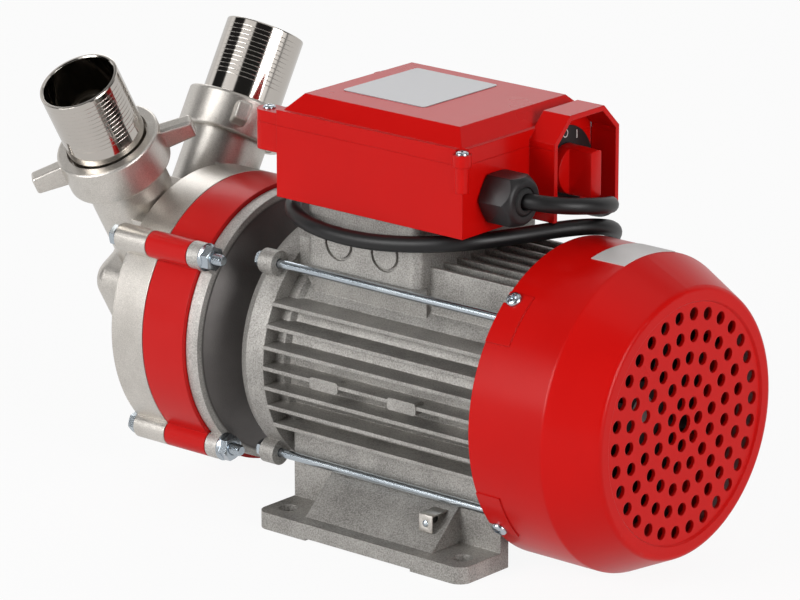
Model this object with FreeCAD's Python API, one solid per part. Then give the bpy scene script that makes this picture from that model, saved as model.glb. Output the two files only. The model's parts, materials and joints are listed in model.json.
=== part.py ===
import FreeCAD, Part
import math
import os

# Electric transfer pump, in millimetres. +X runs along the shaft towards the fan, +Z is up.
# The origin is the centre of the foot's bolt pattern, on the floor.

V = FreeCAD.Vector
os.makedirs("parts", exist_ok=True)

# Clearances
seat_gap = 0.05
running_gap = 0.04
turning_gap = 0.3
thread_gap = 0.08
seal_gap = 0.1
hole_gap = 0.3
screw_gap = 0.2

# How far a cutting body runs past a face, and a joined body reaches into the next one
lap = 1.0

# How near two places are to count as the same, and two directions to count as parallel
near = 0.01
parallel = 0.9

# Motor foot
shaft_height = 80.0
foot_bolt_span_x = 113.0
foot_bolt_span_y = 125.0
foot_hole_r = 5.0
foot_end_margin = 10.3
foot_side_margin = 13.0
foot_plate_t = 8.7
foot_strip_width = 31.5
foot_wall_t = 6.0
foot_wall_overhang = 2.0
foot_saddle_t = 6.0
foot_wall_top = 44.0
foot_relief = 1.2
foot_relief_span = 68.0
foot_corner = 7.0
slope_span = 82.0
slope_foot = 8.2
slope_rise = 19.0

# Motor frame
frame_front_x = -70.0
frame_length = 150.0
frame_r = 54.0
frame_bore_r = 50.0
fin_t = 2.0
fin_pitch = 10.45
side_fins = 7
side_fin_top = 31.4
fin_envelope_r = 66.3
top_fins = 8
top_fin_height = 62.0
fin_pad_middle = -4.1
fin_pad_length = 18.3
fin_pad_gap = 31.8
fin_pad_height = 6.2
fin_pad_drop = 0.8
fin_pad_depth = 6.0
fin_pad_proud = 0.5
fin_pad_round = 1.8
rim_r = 56.5
rim_length = 5.5
rim_ramp = 2.5

# Terminal pedestal on the frame
pedestal_x0 = -58.0
pedestal_length = 72.5
pedestal_half = 47.0
pedestal_floor = 132.0
pedestal_neck_half = 40.0
pedestal_wall = 4.0
pedestal_corner = 5.0
knockout_r = 9.0
knockout_depth = 1.2
knockout_width = 1.6
knockout_middle = -21.25
knockout_pitch = 29.7
knockout_drop = 17.5
wire_hole_r = 9.0

# End shields, bearings and rods
front_shield_t = 16.5
front_shield_r = 65.5
shield_bevel = 2.5
shield_bevel_length = 5.0
front_hub_r = 31.0
front_hub_length = 8.0
rear_shield_t = 10.0
rear_shield_r = 62.0
rear_hub_r = 26.0
rear_hub_lip = 2.0
rear_wall_t = 3.0
rear_lug_r = 6.0
rear_shaft_room = 1.5
shield_relief_gap = 3.0
front_relief_depth = 5.0
rear_relief_depth = 4.0
rod_spread_y = 48.8
rod_spread_z = 49.5
rod_r = 2.2
rod_lug_r = 6.4
rod_lug_inset = 3.5
rod_lug_setback = 4.0
rod_nut_flats = 8.0
rod_nut_room = 1.2
rod_nut_t = 4.0
rod_stick_out = 1.6
front_bearing_r = 23.5
front_bearing_t = 14.0
rear_bearing_r = 20.0
rear_bearing_t = 12.0
bearing_ring_t = 4.2
spring_t = 1.6
spring_inset = 0.5
spring_width = 3.5
bearing_groove = 1.0

# Rotor
shaft_r = 10.0
tail_shaft_r = 8.5
pump_shaft_r = 8.0
rotor_r = 30.6
air_gap = 0.5
core_x0 = -32.0
core_length = 78.0
winding_length = 20.0
winding_in_r = 33.0
winding_out_r = 47.0
winding_round = 3.0
end_ring_length = 8.0
end_ring_inset = 2.0
end_ring_depth = 9.0
shoulder_gap = 0.2
pump_shoulder_inset = 1.0
pump_shaft_reach = 5.0

# Fan and its cover
cover_r = 79.2
cover_wall = 2.0
cover_edge_x = 73.6
cover_length = 70.2
cover_shoulder = 26.2
cover_face_r = 67.0
cover_ring_r = 60.5
cover_ring_step = 1.2
cover_ring_slope = 0.8
cover_round = 3.0
vent_hole_r = 3.25
vent_centre_r = 4.5
vent_pitch = 10.8
vent_counts = (7, 13, 19, 25, 30)
vent_phases = (-0.27, 0.0, 0.10, 0.15, 0.11)
cover_screw_angle = 50.0
cover_screw_inset = 5.0
cover_screw_r = 2.0
cover_screw_head_r = 4.0
cover_screw_head_t = 2.4
cover_screw_length = 9.0
cover_screw_bore = 12.0
cover_screw_bore_depth = 10.0
cover_screw_count = 4
screw_head_round = 1.0
cover_slot_gap = 0.4
cover_slot_depth = 6.0
cover_slot_above = 3.0
cover_lug_width = 14.0
cover_lug_x0 = 74.0
cover_lug_root_r = 72.0
cover_lug_sink = 4.0
cover_pad_rise = 0.6
cover_pad_length = 14.4
cover_pad_above = 3.0
cover_pad_below = 17.0
fan_x0 = 97.0
fan_width = 20.0
fan_r = 68.0
fan_hub_r = 16.0
fan_blades = 8
fan_blade_t = 2.4
fan_disc_t = 2.5
fan_blade_inset = 2.0
fan_blade_turn = 20.0
fan_key_start = 2.0
fan_key_length = 12.0
key_width = 5.0
key_height = 5.0
key_top_gap = 0.3
impeller_key_inset = 4.0
label_x0 = 97.6
label_length = 20.0
label_from = -12.0
label_to = 17.0
label_t = 0.4

# Pump head
ring_r = 72.5
flange_r = 70.5
chamber_r = 60.0
gasket_t = 0.5
gasket_inset = 1.0
gasket_bore_gap = 2.0
flange_x0 = -117.4
flange_rim_t = 7.5
ring_width = 27.5
casing_rim_t = 21.0
dish_depth = 13.0
dish_wall = 6.0
dish_edge = 4.0
dish_mouth = 18.0
flange_step = 4.5
hub_r = 38.0
seal_bore_r = 18.0
seat_bore_r = 15.0
seat_t = 6.0
hub_floor_t = 4.0
hub_shaft_gap = 1.0
brace_count = 4
brace_t = 5.0
brace_turn = 45.0
brace_root = 2.0
brace_inset = 3.0
brace_notch_start = 2.0
brace_notch_margin = 4.0
brace_notch_inset = 1.0
upper_bolt_r = 79.5
upper_bolt_angle = 38.0
lower_bolt_r = 73.8
lower_bolt_angle = -46.6
bolt_boss_r = 7.0
bolt_web = 11.0
bolt_r = 3.0
bolt_hole_r = 3.3
bolt_flats = 10.0
bolt_head_t = 4.0
bolt_washer_t = 1.4
bolt_washer_r = 6.4
bolt_length = 70.0
nut_t = 6.0
nut_flange_r = 7.1
nut_flange_t = 1.6
impeller_gap = 0.35
impeller_r = 59.0
impeller_hub_r = 20.0
impeller_blades = 14
impeller_blade_t = 3.4
impeller_web_t = 3.0
impeller_web_inset = 12.0
clip_t = 1.2
clip_r = 11.0
slinger_r = 12.2
slinger_t = 2.5
slinger_setback = 2.0
slinger_room = 0.8
clip_setback = 0.6
clip_groove = 1.0
clip_room = 1.5
clip_room_depth = 8.0
seal_start = 1.0
seal_face_t = 3.0
seal_body_gap = 2.5
seal_face_gap = 5.0
seal_seat_gap = 0.8

# Nose and ports
nose_r = 32.4
nose_reach = 47.0
nose_round = 8.0
nose_shoulder = 30.0
nose_corner = 12.0
port_x = -189.0
port_rise = 5.5
port_tilt = 30.0
port_neck_r = 21.0
port_bore_r = 17.0
port_bore_start = 38.0
port_neck_length = 93.0
port_thread_r = 23.9
port_thread_length = 11.0
kidney_r = 9.0
kidney_offset = 44.0
port_neck_start = 12.0
bridge_start = 10.0
bridge_length = 54.0
bridge_inset = 4.0
bridge_sink = 2.0

# Union nuts and hose tails
union_r = 27.5
union_height = 20.0
union_overlap = 11.8
union_lip_t = 3.7
union_lip_gap = 1.0
ear_reach = 43.5
ear_t = 8.0
ear_root = 12.6
ear_tip = 9.8
ear_sink = 4.0
ear_round = 1.6
ear_turn = 45.0
union_round = 1.5
tail_r = 20.9
tail_wall = 2.5
tail_collar_t = 3.0
tail_collar_r = 23.4
tail_length = 47.2
tail_relief = 5.0
tail_relief_depth = 0.5
tail_plain = 11.0
tail_barbs = 9
tail_barb_depth = 0.15
tail_barb_step = 0.2
tail_barb_flat = 0.6
tail_mouth_plain = 4.0
tail_mouth_length = 0.8
tail_mouth_bevel = 0.6
port_gasket_t = 1.0
port_gasket_inset = 0.4
port_gasket_gap = 0.6

# Terminal box
box_x0 = -73.3
box_length = 119.0
box_half = 50.6
box_gasket_t = 0.5
box_seat_z = 164.0
box_rim_height = 44.2
box_skirt = 8.0
box_wall = 2.6
box_ledge = 2.6
lid_rise = 8.1
lid_inset = 7.5
box_floor_hole = 12.0
ear_r = 6.2
ear_reach_x = 10.4
ear_inset_y = 6.6
ear_length = 22.0
corner_post_r = 4.6
corner_post_low_r = 3.3
corner_post_length = 21.0
corner_post_inset = 1.0
lid_screw_r = 2.0
lid_screw_head_r = 3.2
lid_screw_head_t = 1.6
lid_screw_drop = 2.0
lid_screw_length = 10.0
lid_screw_bore = 12.0
shroud_depth = 15.6
shroud_chamfer = 12.0
shroud_rise = 7.3
shroud_bend = 1.0
plate_x0 = -53.0
plate_length = 52.5
plate_y0 = -24.5
plate_width = 57.0
plate_t = 0.4
plate_round = 2.0

# Switch
switch_offset = 1.2
switch_rise = 20.5
dial_gap = 0.3
dial_t = 1.2
knob_r = 12.5
knob_base_t = 5.6
knob_front = 20.5
knob_bar_t = 9.0
knob_stem_r = 4.0
knob_stem_length = 6.0
switch_body_depth = 26.0
switch_body_near = 17.0
switch_body_far = 5.0
switch_body_below = 16.0
switch_body_above = 14.0
switch_boss_r = 7.0
switch_boss_setback = 0.1
switch_bore_start = 10.0

# Cable gland
gland_offset = 1.0
gland_rise = 18.0
gland_flats = 23.0
gland_base_t = 7.0
gland_nut_r = 11.2
gland_nut_t = 7.2
gland_nut_taper = 2.5
gland_thread_r = 9.5
gland_nipple_r = 8.5
gland_nipple_length = 4.0
gland_thread_length = 8.0
gland_lock_t = 4.0
gland_lock_flats = 21.0
gland_nut_gap = 0.1
gland_mouth_gap = 0.9
gland_seat = 2.3

# Inner parts of the box
capacitor_r = 15.0
capacitor_length = 60.0
capacitor_y = -26.0
capacitor_gap = 8.0
capacitor_round = 2.0
block_size_x = 40.0
block_size_y = 16.0
block_size_z = 14.0
block_gap = 10.0
block_y = 16.0
block_poles = 3
block_screw_r = 3.0
block_screw_depth = 6.0

# Earth tab on the foot
tab_x = 32.0
tab_size = 8.5
tab_reach = 2.6
tab_bore_z = 20.4
earth_screw_r = 1.5
earth_head_r = 2.6
earth_head_t = 1.2
earth_screw_depth = 6.0
earth_bore_start = 3.0
earth_bore_length = 10.0

# Cable
cord_r = 4.1
cord_bend_share = 0.45
coil_x = -22.0
coil_y = 142.0
coil_mid_r = 46.0
coil_pack = 8.4
coil_round = 4.0
tie_width = 9.0
tie_t = 1.2
tie_angle = 250.0
plug_r = 18.2
plug_round = 4.0
plug_length = 30.0
plug_neck_r = 6.5
plug_neck_length = 26.0
plug_neck_flare = 3.5
plug_pin_r = 2.4
plug_pin_length = 19.0
plug_pin_spread = 19.0
cord_route = [
    (48.0, -26.3, 182.0), (65.0, -26.3, 182.0), (79.4, -17.3, 180.3), (86.9, -2.0, 178.4),
    (84.8, 14.9, 175.0), (73.9, 27.9, 170.8), (59.5, 39.5, 162.4), (35.0, 54.0, 157.8),
    (7.0, 59.0, 156.5), (-23.0, 60.0, 156.5), (-51.0, 55.5, 157.5), (-73.5, 39.5, 159.0),
    (-84.5, 13.5, 159.6), (-84.0, -17.0, 159.2), (-71.5, -44.5, 157.8), (-45.0, -57.5, 155.6),
    (-14.0, -58.0, 154.5), (15.0, -53.5, 156.8), (40.0, -42.5, 160.0), (52.0, -16.5, 160.1),
    (59.3, 4.5, 160.1), (66.0, 19.0, 159.8), (67.8, 33.5, 156.8), (62.5, 47.0, 151.0),
    (51.5, 58.5, 143.0), (41.5, 68.5, 129.5), (34.5, 76.0, 110.5), (31.5, 81.0, 88.0),
    (31.0, 84.0, 64.5), (32.0, 88.0, 41.5), (33.2, 95.5, 22.0), (32.5, 109.5, 9.0),
    (29.5, 126.0, 4.6), (28.2, 142.0, 4.3),
]
tail_route = [
    (-22.0, 192.2, 12.6), (-46.0, 190.5, 14.0), (-69.0, 182.0, 18.0), (-90.0, 169.0, 18.6),
]

# Stations worked out from the sizes
frame_rear_x = frame_front_x + frame_length
shield_front_x = frame_front_x - front_shield_t
rod_seat_x = shield_front_x + rod_lug_setback
rear_face_x = frame_rear_x + rear_shield_t
front_bearing_x = frame_front_x + front_hub_length - front_bearing_t
rear_bearing_x = rear_face_x - rear_wall_t - spring_t - rear_bearing_t
core_x1 = core_x0 + core_length
cover_face_x = cover_edge_x + cover_length
cover_crease_x = cover_face_x - cover_shoulder
ring_x1 = flange_x0 - gasket_t
ring_x0 = ring_x1 - ring_width
casing_x1 = ring_x0 - gasket_t
casing_x0 = casing_x1 - casing_rim_t
flange_x1 = flange_x0 + flange_rim_t
foot_half_x = foot_bolt_span_x / 2 + foot_end_margin
foot_half_y = foot_bolt_span_y / 2 + foot_side_margin
foot_wall_y = foot_half_y - foot_strip_width + foot_wall_overhang
box_x1 = box_x0 + box_length
box_z0 = box_seat_z + box_gasket_t
box_rim_z = box_z0 + box_rim_height
lid_seat_z = box_rim_z - lid_screw_drop
box_split_z = box_rim_z - box_skirt
shroud_z1 = box_rim_z + shroud_rise
shroud_x1 = box_x1 + shroud_depth
hood_half = box_half / 2 - box_wall
switch_y = box_half / 2 + switch_offset
switch_z = box_seat_z + switch_rise
dial_r = hood_half - switch_offset - dial_gap
gland_y = -box_half / 2 - gland_offset
gland_z = box_seat_z + gland_rise
port_z = shaft_height + port_rise
tail_base = port_neck_length + port_gasket_t
union_base = port_neck_length - union_overlap
pedestal_x1 = pedestal_x0 + pedestal_length
pedestal_middle = pedestal_x0 + pedestal_length / 2
cover_screw_x = cover_edge_x + cover_screw_inset
shoulder_x = shield_front_x - hub_floor_t + pump_shoulder_inset
clip_x = casing_x1 - clip_t - clip_setback
slinger_x = shield_front_x + slinger_setback
fan_key_x0 = fan_x0 + fan_key_start
fan_key_x1 = fan_key_x0 + fan_key_length
impeller_key_x0 = ring_x0 + impeller_key_inset
impeller_key_x1 = ring_x1 - impeller_key_inset


def rod(x0, x1, r, y=0.0, z=shaft_height):
    return Part.makeCylinder(r, x1 - x0, V(x0, y, z), V(1, 0, 0))


def tube(x0, x1, r_out, r_in, y=0.0, z=shaft_height):
    return rod(x0, x1, r_out, y, z).cut(rod(x0 - lap, x1 + lap, r_in, y, z))


def block(x0, x1, y0, y1, z0, z1):
    return Part.makeBox(x1 - x0, y1 - y0, z1 - z0, V(x0, y0, z0))


def turned(points):
    # A closed outline of (x, radius) points, turned about the shaft axis
    wire = Part.makePolygon([V(x, 0, shaft_height + r) for x, r in points + points[:1]])
    return Part.Face(wire).revolve(V(0, 0, shaft_height), V(1, 0, 0), 360)


def prism_x(points, x0, x1):
    # A closed outline of (y, z) points, drawn out along the shaft
    wire = Part.makePolygon([V(x0, y, z) for y, z in points + points[:1]])
    return Part.Face(wire).extrude(V(x1 - x0, 0, 0))


def hexagon_x(x0, x1, flats, y, z):
    r = flats / math.sqrt(3)
    corners = [(y + r * math.cos(math.radians(60 * i)), z + r * math.sin(math.radians(60 * i)))
               for i in range(6)]
    return prism_x(corners, x0, x1)


def join(shapes):
    return shapes[0].multiFuse(shapes[1:]).removeSplitter()


def about_shaft(shape, degrees):
    copy = shape.copy()
    copy.rotate(V(0, 0, shaft_height), V(1, 0, 0), degrees)
    return copy


def runs_along(edge, axis):
    return abs(edge.tangentAt(edge.FirstParameter).dot(axis)) > parallel


def is_round(edge):
    return isinstance(edge.Curve, Part.Circle)


def fillet_where(shape, radius, wanted):
    edges = [edge for edge in shape.Edges if wanted(edge)]
    return shape.makeFillet(radius, edges) if edges else shape


def save(name, *shapes):
    solids = [solid for shape in shapes for solid in shape.Solids]
    Part.makeCompound(solids).exportStep("parts/" + name + ".step")
    print(name, len(solids), round(sum(solid.Volume for solid in solids)))


# Places of the repeated fasteners
rod_places = [(sy * rod_spread_y, shaft_height + sz * rod_spread_z)
              for sy in (-1, 1) for sz in (-1, 1)]
bolt_places = [(side * r * math.cos(math.radians(angle)), shaft_height + r * math.sin(math.radians(angle)))
               for side in (-1, 1)
               for r, angle in ((lower_bolt_r, lower_bolt_angle), (upper_bolt_r, upper_bolt_angle))]


def motor_foot():
    frame_hollow = rod(-foot_half_x - lap, foot_half_x + lap, frame_r + seat_gap)
    body = block(-foot_half_x, foot_half_x, -foot_wall_y, foot_wall_y, 0, foot_wall_top)
    inner = foot_wall_y - foot_wall_t
    hollow = block(-foot_half_x - lap, foot_half_x + lap, -inner, inner, -lap, foot_wall_top)
    saddle = rod(-foot_half_x - 2 * lap, foot_half_x + 2 * lap, frame_r + foot_saddle_t)
    pieces = [body.cut(hollow.cut(saddle))]
    for side in (-1, 1):
        y_in, y_out = sorted((side * (foot_half_y - foot_strip_width), side * foot_half_y))
        plate = block(-foot_half_x, foot_half_x, y_in, y_out, 0, foot_plate_t)
        plate = fillet_where(plate, foot_corner, lambda edge: runs_along(edge, V(0, 0, 1))
                             and edge.CenterOfMass.y * side > foot_half_y - near)
        pieces.append(plate)
        slope = prism_x([(side * (foot_wall_y - lap), 0), (side * (foot_half_y - slope_foot), 0),
                         (side * (foot_half_y - slope_foot), foot_plate_t),
                         (side * foot_wall_y, foot_plate_t + slope_rise),
                         (side * (foot_wall_y - lap), foot_plate_t + slope_rise)],
                        -slope_span / 2, slope_span / 2)
        pieces.append(slope)
    foot = join(pieces).cut(frame_hollow)
    for x in (-foot_bolt_span_x / 2, foot_bolt_span_x / 2):
        for y in (-foot_bolt_span_y / 2, foot_bolt_span_y / 2):
            foot = foot.cut(Part.makeCylinder(foot_hole_r, foot_plate_t + 2 * lap, V(x, y, -lap)))
    relief = block(-foot_relief_span / 2, foot_relief_span / 2, -foot_half_y - lap, foot_half_y + lap,
                   -lap, foot_relief)
    return foot.cut(relief).cut(tab_bore())


def tab_bore():
    start = V(tab_x, -slope_y(tab_bore_z) - earth_bore_start, tab_bore_z)
    return Part.makeCylinder(earth_screw_r, earth_bore_length, start, V(0, 1, 0))


def slope_y(z):
    # Distance of the pedestal's sloping face from the middle, at height z
    run = foot_half_y - slope_foot - foot_wall_y
    return foot_half_y - slope_foot - run * (z - foot_plate_t) / slope_rise


def earth_tab():
    # A small bent plate on the slope: a block with a sloping back that seats on the foot
    z0, z1 = tab_bore_z - tab_size / 2, tab_bore_z + tab_size / 2
    front = -(slope_y(z0) + tab_reach)
    points = [(front, z0), (-slope_y(z0) - seat_gap, z0), (-slope_y(z1) - seat_gap, z1), (front, z1)]
    tab = prism_x(points, tab_x - tab_size / 2, tab_x + tab_size / 2)
    hole = Part.makeCylinder(earth_screw_r, tab_reach + tab_size + 2 * lap,
                             V(tab_x, front - lap, tab_bore_z), V(0, 1, 0))
    return tab.cut(hole), front


def earth_screw():
    front = earth_tab()[1]
    shank_end = -slope_y(tab_bore_z) + earth_screw_depth
    head = Part.makeCylinder(earth_head_r, earth_head_t, V(tab_x, front - earth_head_t, tab_bore_z),
                             V(0, 1, 0))
    shank = Part.makeCylinder(earth_screw_r - seat_gap, shank_end - front,
                              V(tab_x, front, tab_bore_z), V(0, 1, 0))
    return head.fuse(shank)


def rounded_block(x0, x1, half, z0, z1, corner):
    shape = block(x0, x1, -half, half, z0, z1)
    return fillet_where(shape, corner, lambda edge: runs_along(edge, V(0, 0, 1)))


def side_fin_heights():
    return [shaft_height + side_fin_top - fin_pitch * i for i in range(side_fins)]


def envelope_half(z):
    # Half width of the fins' outline at height z
    return math.sqrt(fin_envelope_r ** 2 - (z - shaft_height) ** 2)


def motor_housing():
    pieces = [rod(frame_front_x, frame_rear_x, frame_r)]
    for z in side_fin_heights():
        half = envelope_half(z)
        pieces.append(block(frame_front_x, frame_rear_x, -half, half, z - fin_t / 2, z + fin_t / 2))
    for i in range(top_fins):
        y = (i - (top_fins - 1) / 2) * fin_pitch
        pieces.append(block(frame_front_x, frame_rear_x, y - fin_t / 2, y + fin_t / 2,
                            shaft_height, shaft_height + top_fin_height))
    rim_end = frame_front_x + rim_length
    rim = turned([(frame_front_x, frame_bore_r), (frame_front_x, rim_r), (rim_end, rim_r),
                  (rim_end + rim_ramp, frame_r), (rim_end + rim_ramp, frame_bore_r)])
    pieces.append(rim.common(block(frame_front_x, rim_end + rim_ramp, -rim_r, rim_r,
                                   foot_wall_top + turning_gap, shaft_height + rim_r)))
    x1 = pedestal_x1
    pieces.append(rounded_block(pedestal_x0, x1, pedestal_half, pedestal_floor, box_seat_z,
                                pedestal_corner))
    pieces.append(block(pedestal_x0, x1, -pedestal_neck_half, pedestal_neck_half,
                        shaft_height, pedestal_floor + lap))
    middle_fin_z = side_fin_heights()[side_fins // 2]
    pad_half = envelope_half(middle_fin_z)
    pad_z = middle_fin_z - fin_pad_drop
    for side in (-1, 1):
        for step in (-1, 1):
            x = fin_pad_middle + step * (fin_pad_gap + fin_pad_length) / 2
            y0, y1 = sorted((side * (pad_half - fin_pad_depth), side * (pad_half + fin_pad_proud)))
            pad = block(x - fin_pad_length / 2, x + fin_pad_length / 2, y0, y1,
                        pad_z - fin_pad_height / 2, pad_z + fin_pad_height / 2)
            pieces.append(fillet_where(pad, fin_pad_round, lambda edge: runs_along(edge, V(0, 1, 0))))
    housing = join(pieces)
    wall = pedestal_wall
    housing = housing.cut(rounded_block(pedestal_x0 + wall, x1 - wall, pedestal_half - wall,
                                        pedestal_floor + wall, box_seat_z + lap, pedestal_corner - wall))
    housing = housing.cut(rod(frame_front_x - lap, frame_rear_x + lap, frame_bore_r))
    wire_hole = Part.makeCylinder(wire_hole_r, box_seat_z, V(pedestal_middle, 0, shaft_height))
    housing = housing.cut(wire_hole)
    z = box_seat_z - knockout_drop
    for step in (-1, 1):
        x = knockout_middle + step * knockout_pitch / 2
        for side in (-1, 1):
            y = side * (pedestal_half - knockout_depth / 2)
            ring = Part.makeCylinder(knockout_r, knockout_depth * 2, V(x, y - knockout_depth, z),
                                     V(0, 1, 0))
            core = Part.makeCylinder(knockout_r - knockout_width, knockout_depth * 4,
                                     V(x, y - 2 * knockout_depth, z), V(0, 1, 0))
            housing = housing.cut(ring.cut(core))
    return housing


def front_shield():
    x0, x1 = shield_front_x, frame_front_x
    disc = turned([(x0, 0), (x0, front_shield_r - shield_bevel), (x0 + shield_bevel_length,
                   front_shield_r), (x1, front_shield_r), (x1, 0)])
    lugs = [rod(rod_seat_x, x1 - rod_lug_inset, rod_lug_r, y, z) for y, z in rod_places]
    hub = rod(x0, x1 + front_hub_length, front_hub_r)
    shield = join([disc, hub] + lugs)
    shield = shield.cut(rod(front_bearing_x, x1 + front_hub_length + lap, front_bearing_r + seat_gap))
    shield = shield.cut(rod(x0 - lap, x1, slinger_r + slinger_room))
    for y, z in rod_places:
        shield = shield.cut(rod(x0, x1 + lap, rod_r + hole_gap, y, z))
        shield = shield.cut(rod(x0 - lap, rod_seat_x, rod_nut_flats / 2 + rod_nut_room, y, z))
    relief_r = front_hub_r + shield_relief_gap
    return shield.cut(tube(x1 - front_relief_depth, x1 + lap, frame_bore_r, relief_r))


def rear_shield():
    x0, x1 = frame_rear_x, rear_face_x
    disc = rod(x0, x1, rear_shield_r)
    lugs = [rod(x0, x1, rear_lug_r, y, z) for y, z in rod_places]
    hub_x0 = rear_bearing_x - rear_hub_lip
    hub = rod(hub_x0, x1, rear_hub_r)
    shield = join([disc, hub] + lugs)
    reach = cover_r - cover_wall - seat_gap
    half = cover_lug_width / 2
    lug = block(x0, x1, -half, half, shaft_height + rear_shield_r - cover_lug_sink, shaft_height + cover_r)
    tip = block(cover_lug_x0, x1, -half, half, shaft_height + cover_lug_root_r, shaft_height + cover_r)
    lug = lug.fuse(tip).common(rod(cover_lug_x0, x1, reach))
    shield = join([shield] + [about_shaft(lug, angle) for angle in cover_screw_angles()])
    shield = shield.cut(rod(hub_x0 - lap, x1 - rear_wall_t, rear_bearing_r + seat_gap))
    shield = shield.cut(rod(x0 - lap, x1 + lap, tail_shaft_r + rear_shaft_room))
    relief_r = rear_hub_r + shield_relief_gap
    shield = shield.cut(tube(x0 - lap, x0 + rear_relief_depth, frame_bore_r, relief_r))
    for y, z in rod_places:
        shield = shield.cut(rod(x0 - lap, x1 + lap, rod_r + hole_gap, y, z))
    for angle in cover_screw_angles():
        shield = shield.cut(about_shaft(screw_hole(cover_screw_r), angle))
    return shield


def cover_screw_angles():
    # Turns about the shaft from straight up; a positive turn leads to the near side
    return [90 - cover_screw_angle + 360 / cover_screw_count * i for i in range(cover_screw_count)]


def screw_hole(r):
    return Part.makeCylinder(r, cover_screw_bore,
                             V(cover_screw_x, 0, shaft_height + cover_r - cover_screw_bore_depth))


def cover_screws():
    top = shaft_height + cover_r + cover_pad_rise
    screws = []
    for angle in cover_screw_angles():
        head = Part.makeCylinder(cover_screw_head_r, cover_screw_head_t, V(cover_screw_x, 0, top))
        head = fillet_where(head, screw_head_round,
                            lambda edge: edge.CenterOfMass.z > top + cover_screw_head_t - near)
        shank = Part.makeCylinder(cover_screw_r - seat_gap, cover_screw_length,
                                  V(cover_screw_x, 0, top - cover_screw_length))
        screws.append(about_shaft(head.fuse(shank), angle))
    return screws


def tie_rods():
    x0 = rod_seat_x - rod_nut_t - rod_stick_out
    x1 = rear_face_x + rod_nut_t + rod_stick_out
    return [rod(x0, x1, rod_r, y, z) for y, z in rod_places]


def rod_nuts():
    nuts = []
    for y, z in rod_places:
        for x in (rod_seat_x - rod_nut_t, rear_face_x):
            nut = hexagon_x(x, x + rod_nut_t, rod_nut_flats, y, z)
            nuts.append(nut.cut(rod(x - lap, x + rod_nut_t + lap, rod_r + seat_gap, y, z)))
    return nuts


def bearing(x0, thickness, r_out, r_in):
    # Two races with a shallow groove on each face between them
    ring = tube(x0, x0 + thickness, r_out, r_in + running_gap)
    for x in (x0 - bearing_groove, x0 + thickness - bearing_groove):
        ring = ring.cut(tube(x, x + 2 * bearing_groove, r_out - bearing_ring_t, r_in + bearing_ring_t))
    return ring


def bearing_spring():
    r_out = rear_bearing_r - spring_inset
    return tube(rear_bearing_x + rear_bearing_t, rear_face_x - rear_wall_t, r_out, r_out - spring_width)


def rotor_shaft():
    shoulder_end = rear_bearing_x - shoulder_gap
    shaft = join([rod(casing_x1 - pump_shaft_reach, shoulder_x, pump_shaft_r),
                  rod(shoulder_x, shoulder_end, shaft_r),
                  rod(shoulder_end, fan_x0 + fan_width, tail_shaft_r)])
    shaft = shaft.cut(tube(clip_x, clip_x + clip_t, pump_shaft_r + lap, pump_shaft_r - clip_groove))
    shaft = shaft.cut(key_block(impeller_key_x0, impeller_key_x1, pump_shaft_r, key_height))
    return shaft.cut(key_block(fan_key_x0, fan_key_x1, tail_shaft_r, key_height))


def key_block(x0, x1, r, height):
    # A block on the key's seat in a shaft, as high as asked for
    z = shaft_height + r - key_height / 2
    return block(x0, x1, -key_width / 2, key_width / 2, z, z + height)


def rotor_key(x0, x1, r):
    return key_block(x0, x1, r, key_height - key_top_gap)


def rotor_core():
    core = tube(core_x0, core_x1, rotor_r, shaft_r)
    r_out = rotor_r - end_ring_inset
    rings = [tube(x, x + end_ring_length, r_out, r_out - end_ring_depth)
             for x in (core_x0 - end_ring_length, core_x1)]
    return join([core] + rings)


def stator_core():
    return tube(core_x0, core_x1, frame_bore_r - seat_gap, rotor_r + air_gap)


def stator_windings():
    ends = []
    for x0 in (core_x0 - winding_length, core_x1):
        ring = tube(x0, x0 + winding_length, winding_out_r, winding_in_r)
        ends.append(fillet_where(ring, winding_round, is_round))
    return ends


def cooling_fan():
    hub = rod(fan_x0, fan_x0 + fan_width, fan_hub_r)
    disc = rod(fan_x0, fan_x0 + fan_disc_t, fan_r)
    blade = block(fan_x0, fan_x0 + fan_width, -fan_blade_t / 2, fan_blade_t / 2,
                  shaft_height + fan_hub_r - lap, shaft_height + fan_r - fan_blade_inset)
    blades = [about_shaft(blade, 360 / fan_blades * i + fan_blade_turn) for i in range(fan_blades)]
    fan = join([hub, disc] + blades).cut(rod(fan_x0 - lap, fan_x0 + fan_width + lap, tail_shaft_r))
    return fan.cut(rotor_key(fan_key_x0, fan_key_x1, tail_shaft_r))


def cover_outline(inset):
    r, ring, x1 = cover_r - inset, cover_ring_r - inset, cover_face_x - inset
    return [(cover_edge_x, 0), (cover_edge_x, r), (cover_crease_x, r), (x1, cover_face_r - inset),
            (x1, ring), (x1 - cover_ring_step, ring - cover_ring_slope), (x1 - cover_ring_step, 0)]


def cover_form(inset):
    # The cover's dome as a full body, its crease and the edge of its face rounded
    form = turned(cover_outline(inset))
    creases = (cover_r - inset, cover_face_r - inset)
    return fillet_where(form, cover_round - inset, lambda edge: is_round(edge)
                        and edge.CenterOfMass.x > cover_edge_x + near
                        and min(abs(edge.Curve.Radius - r) for r in creases) < near)


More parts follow.
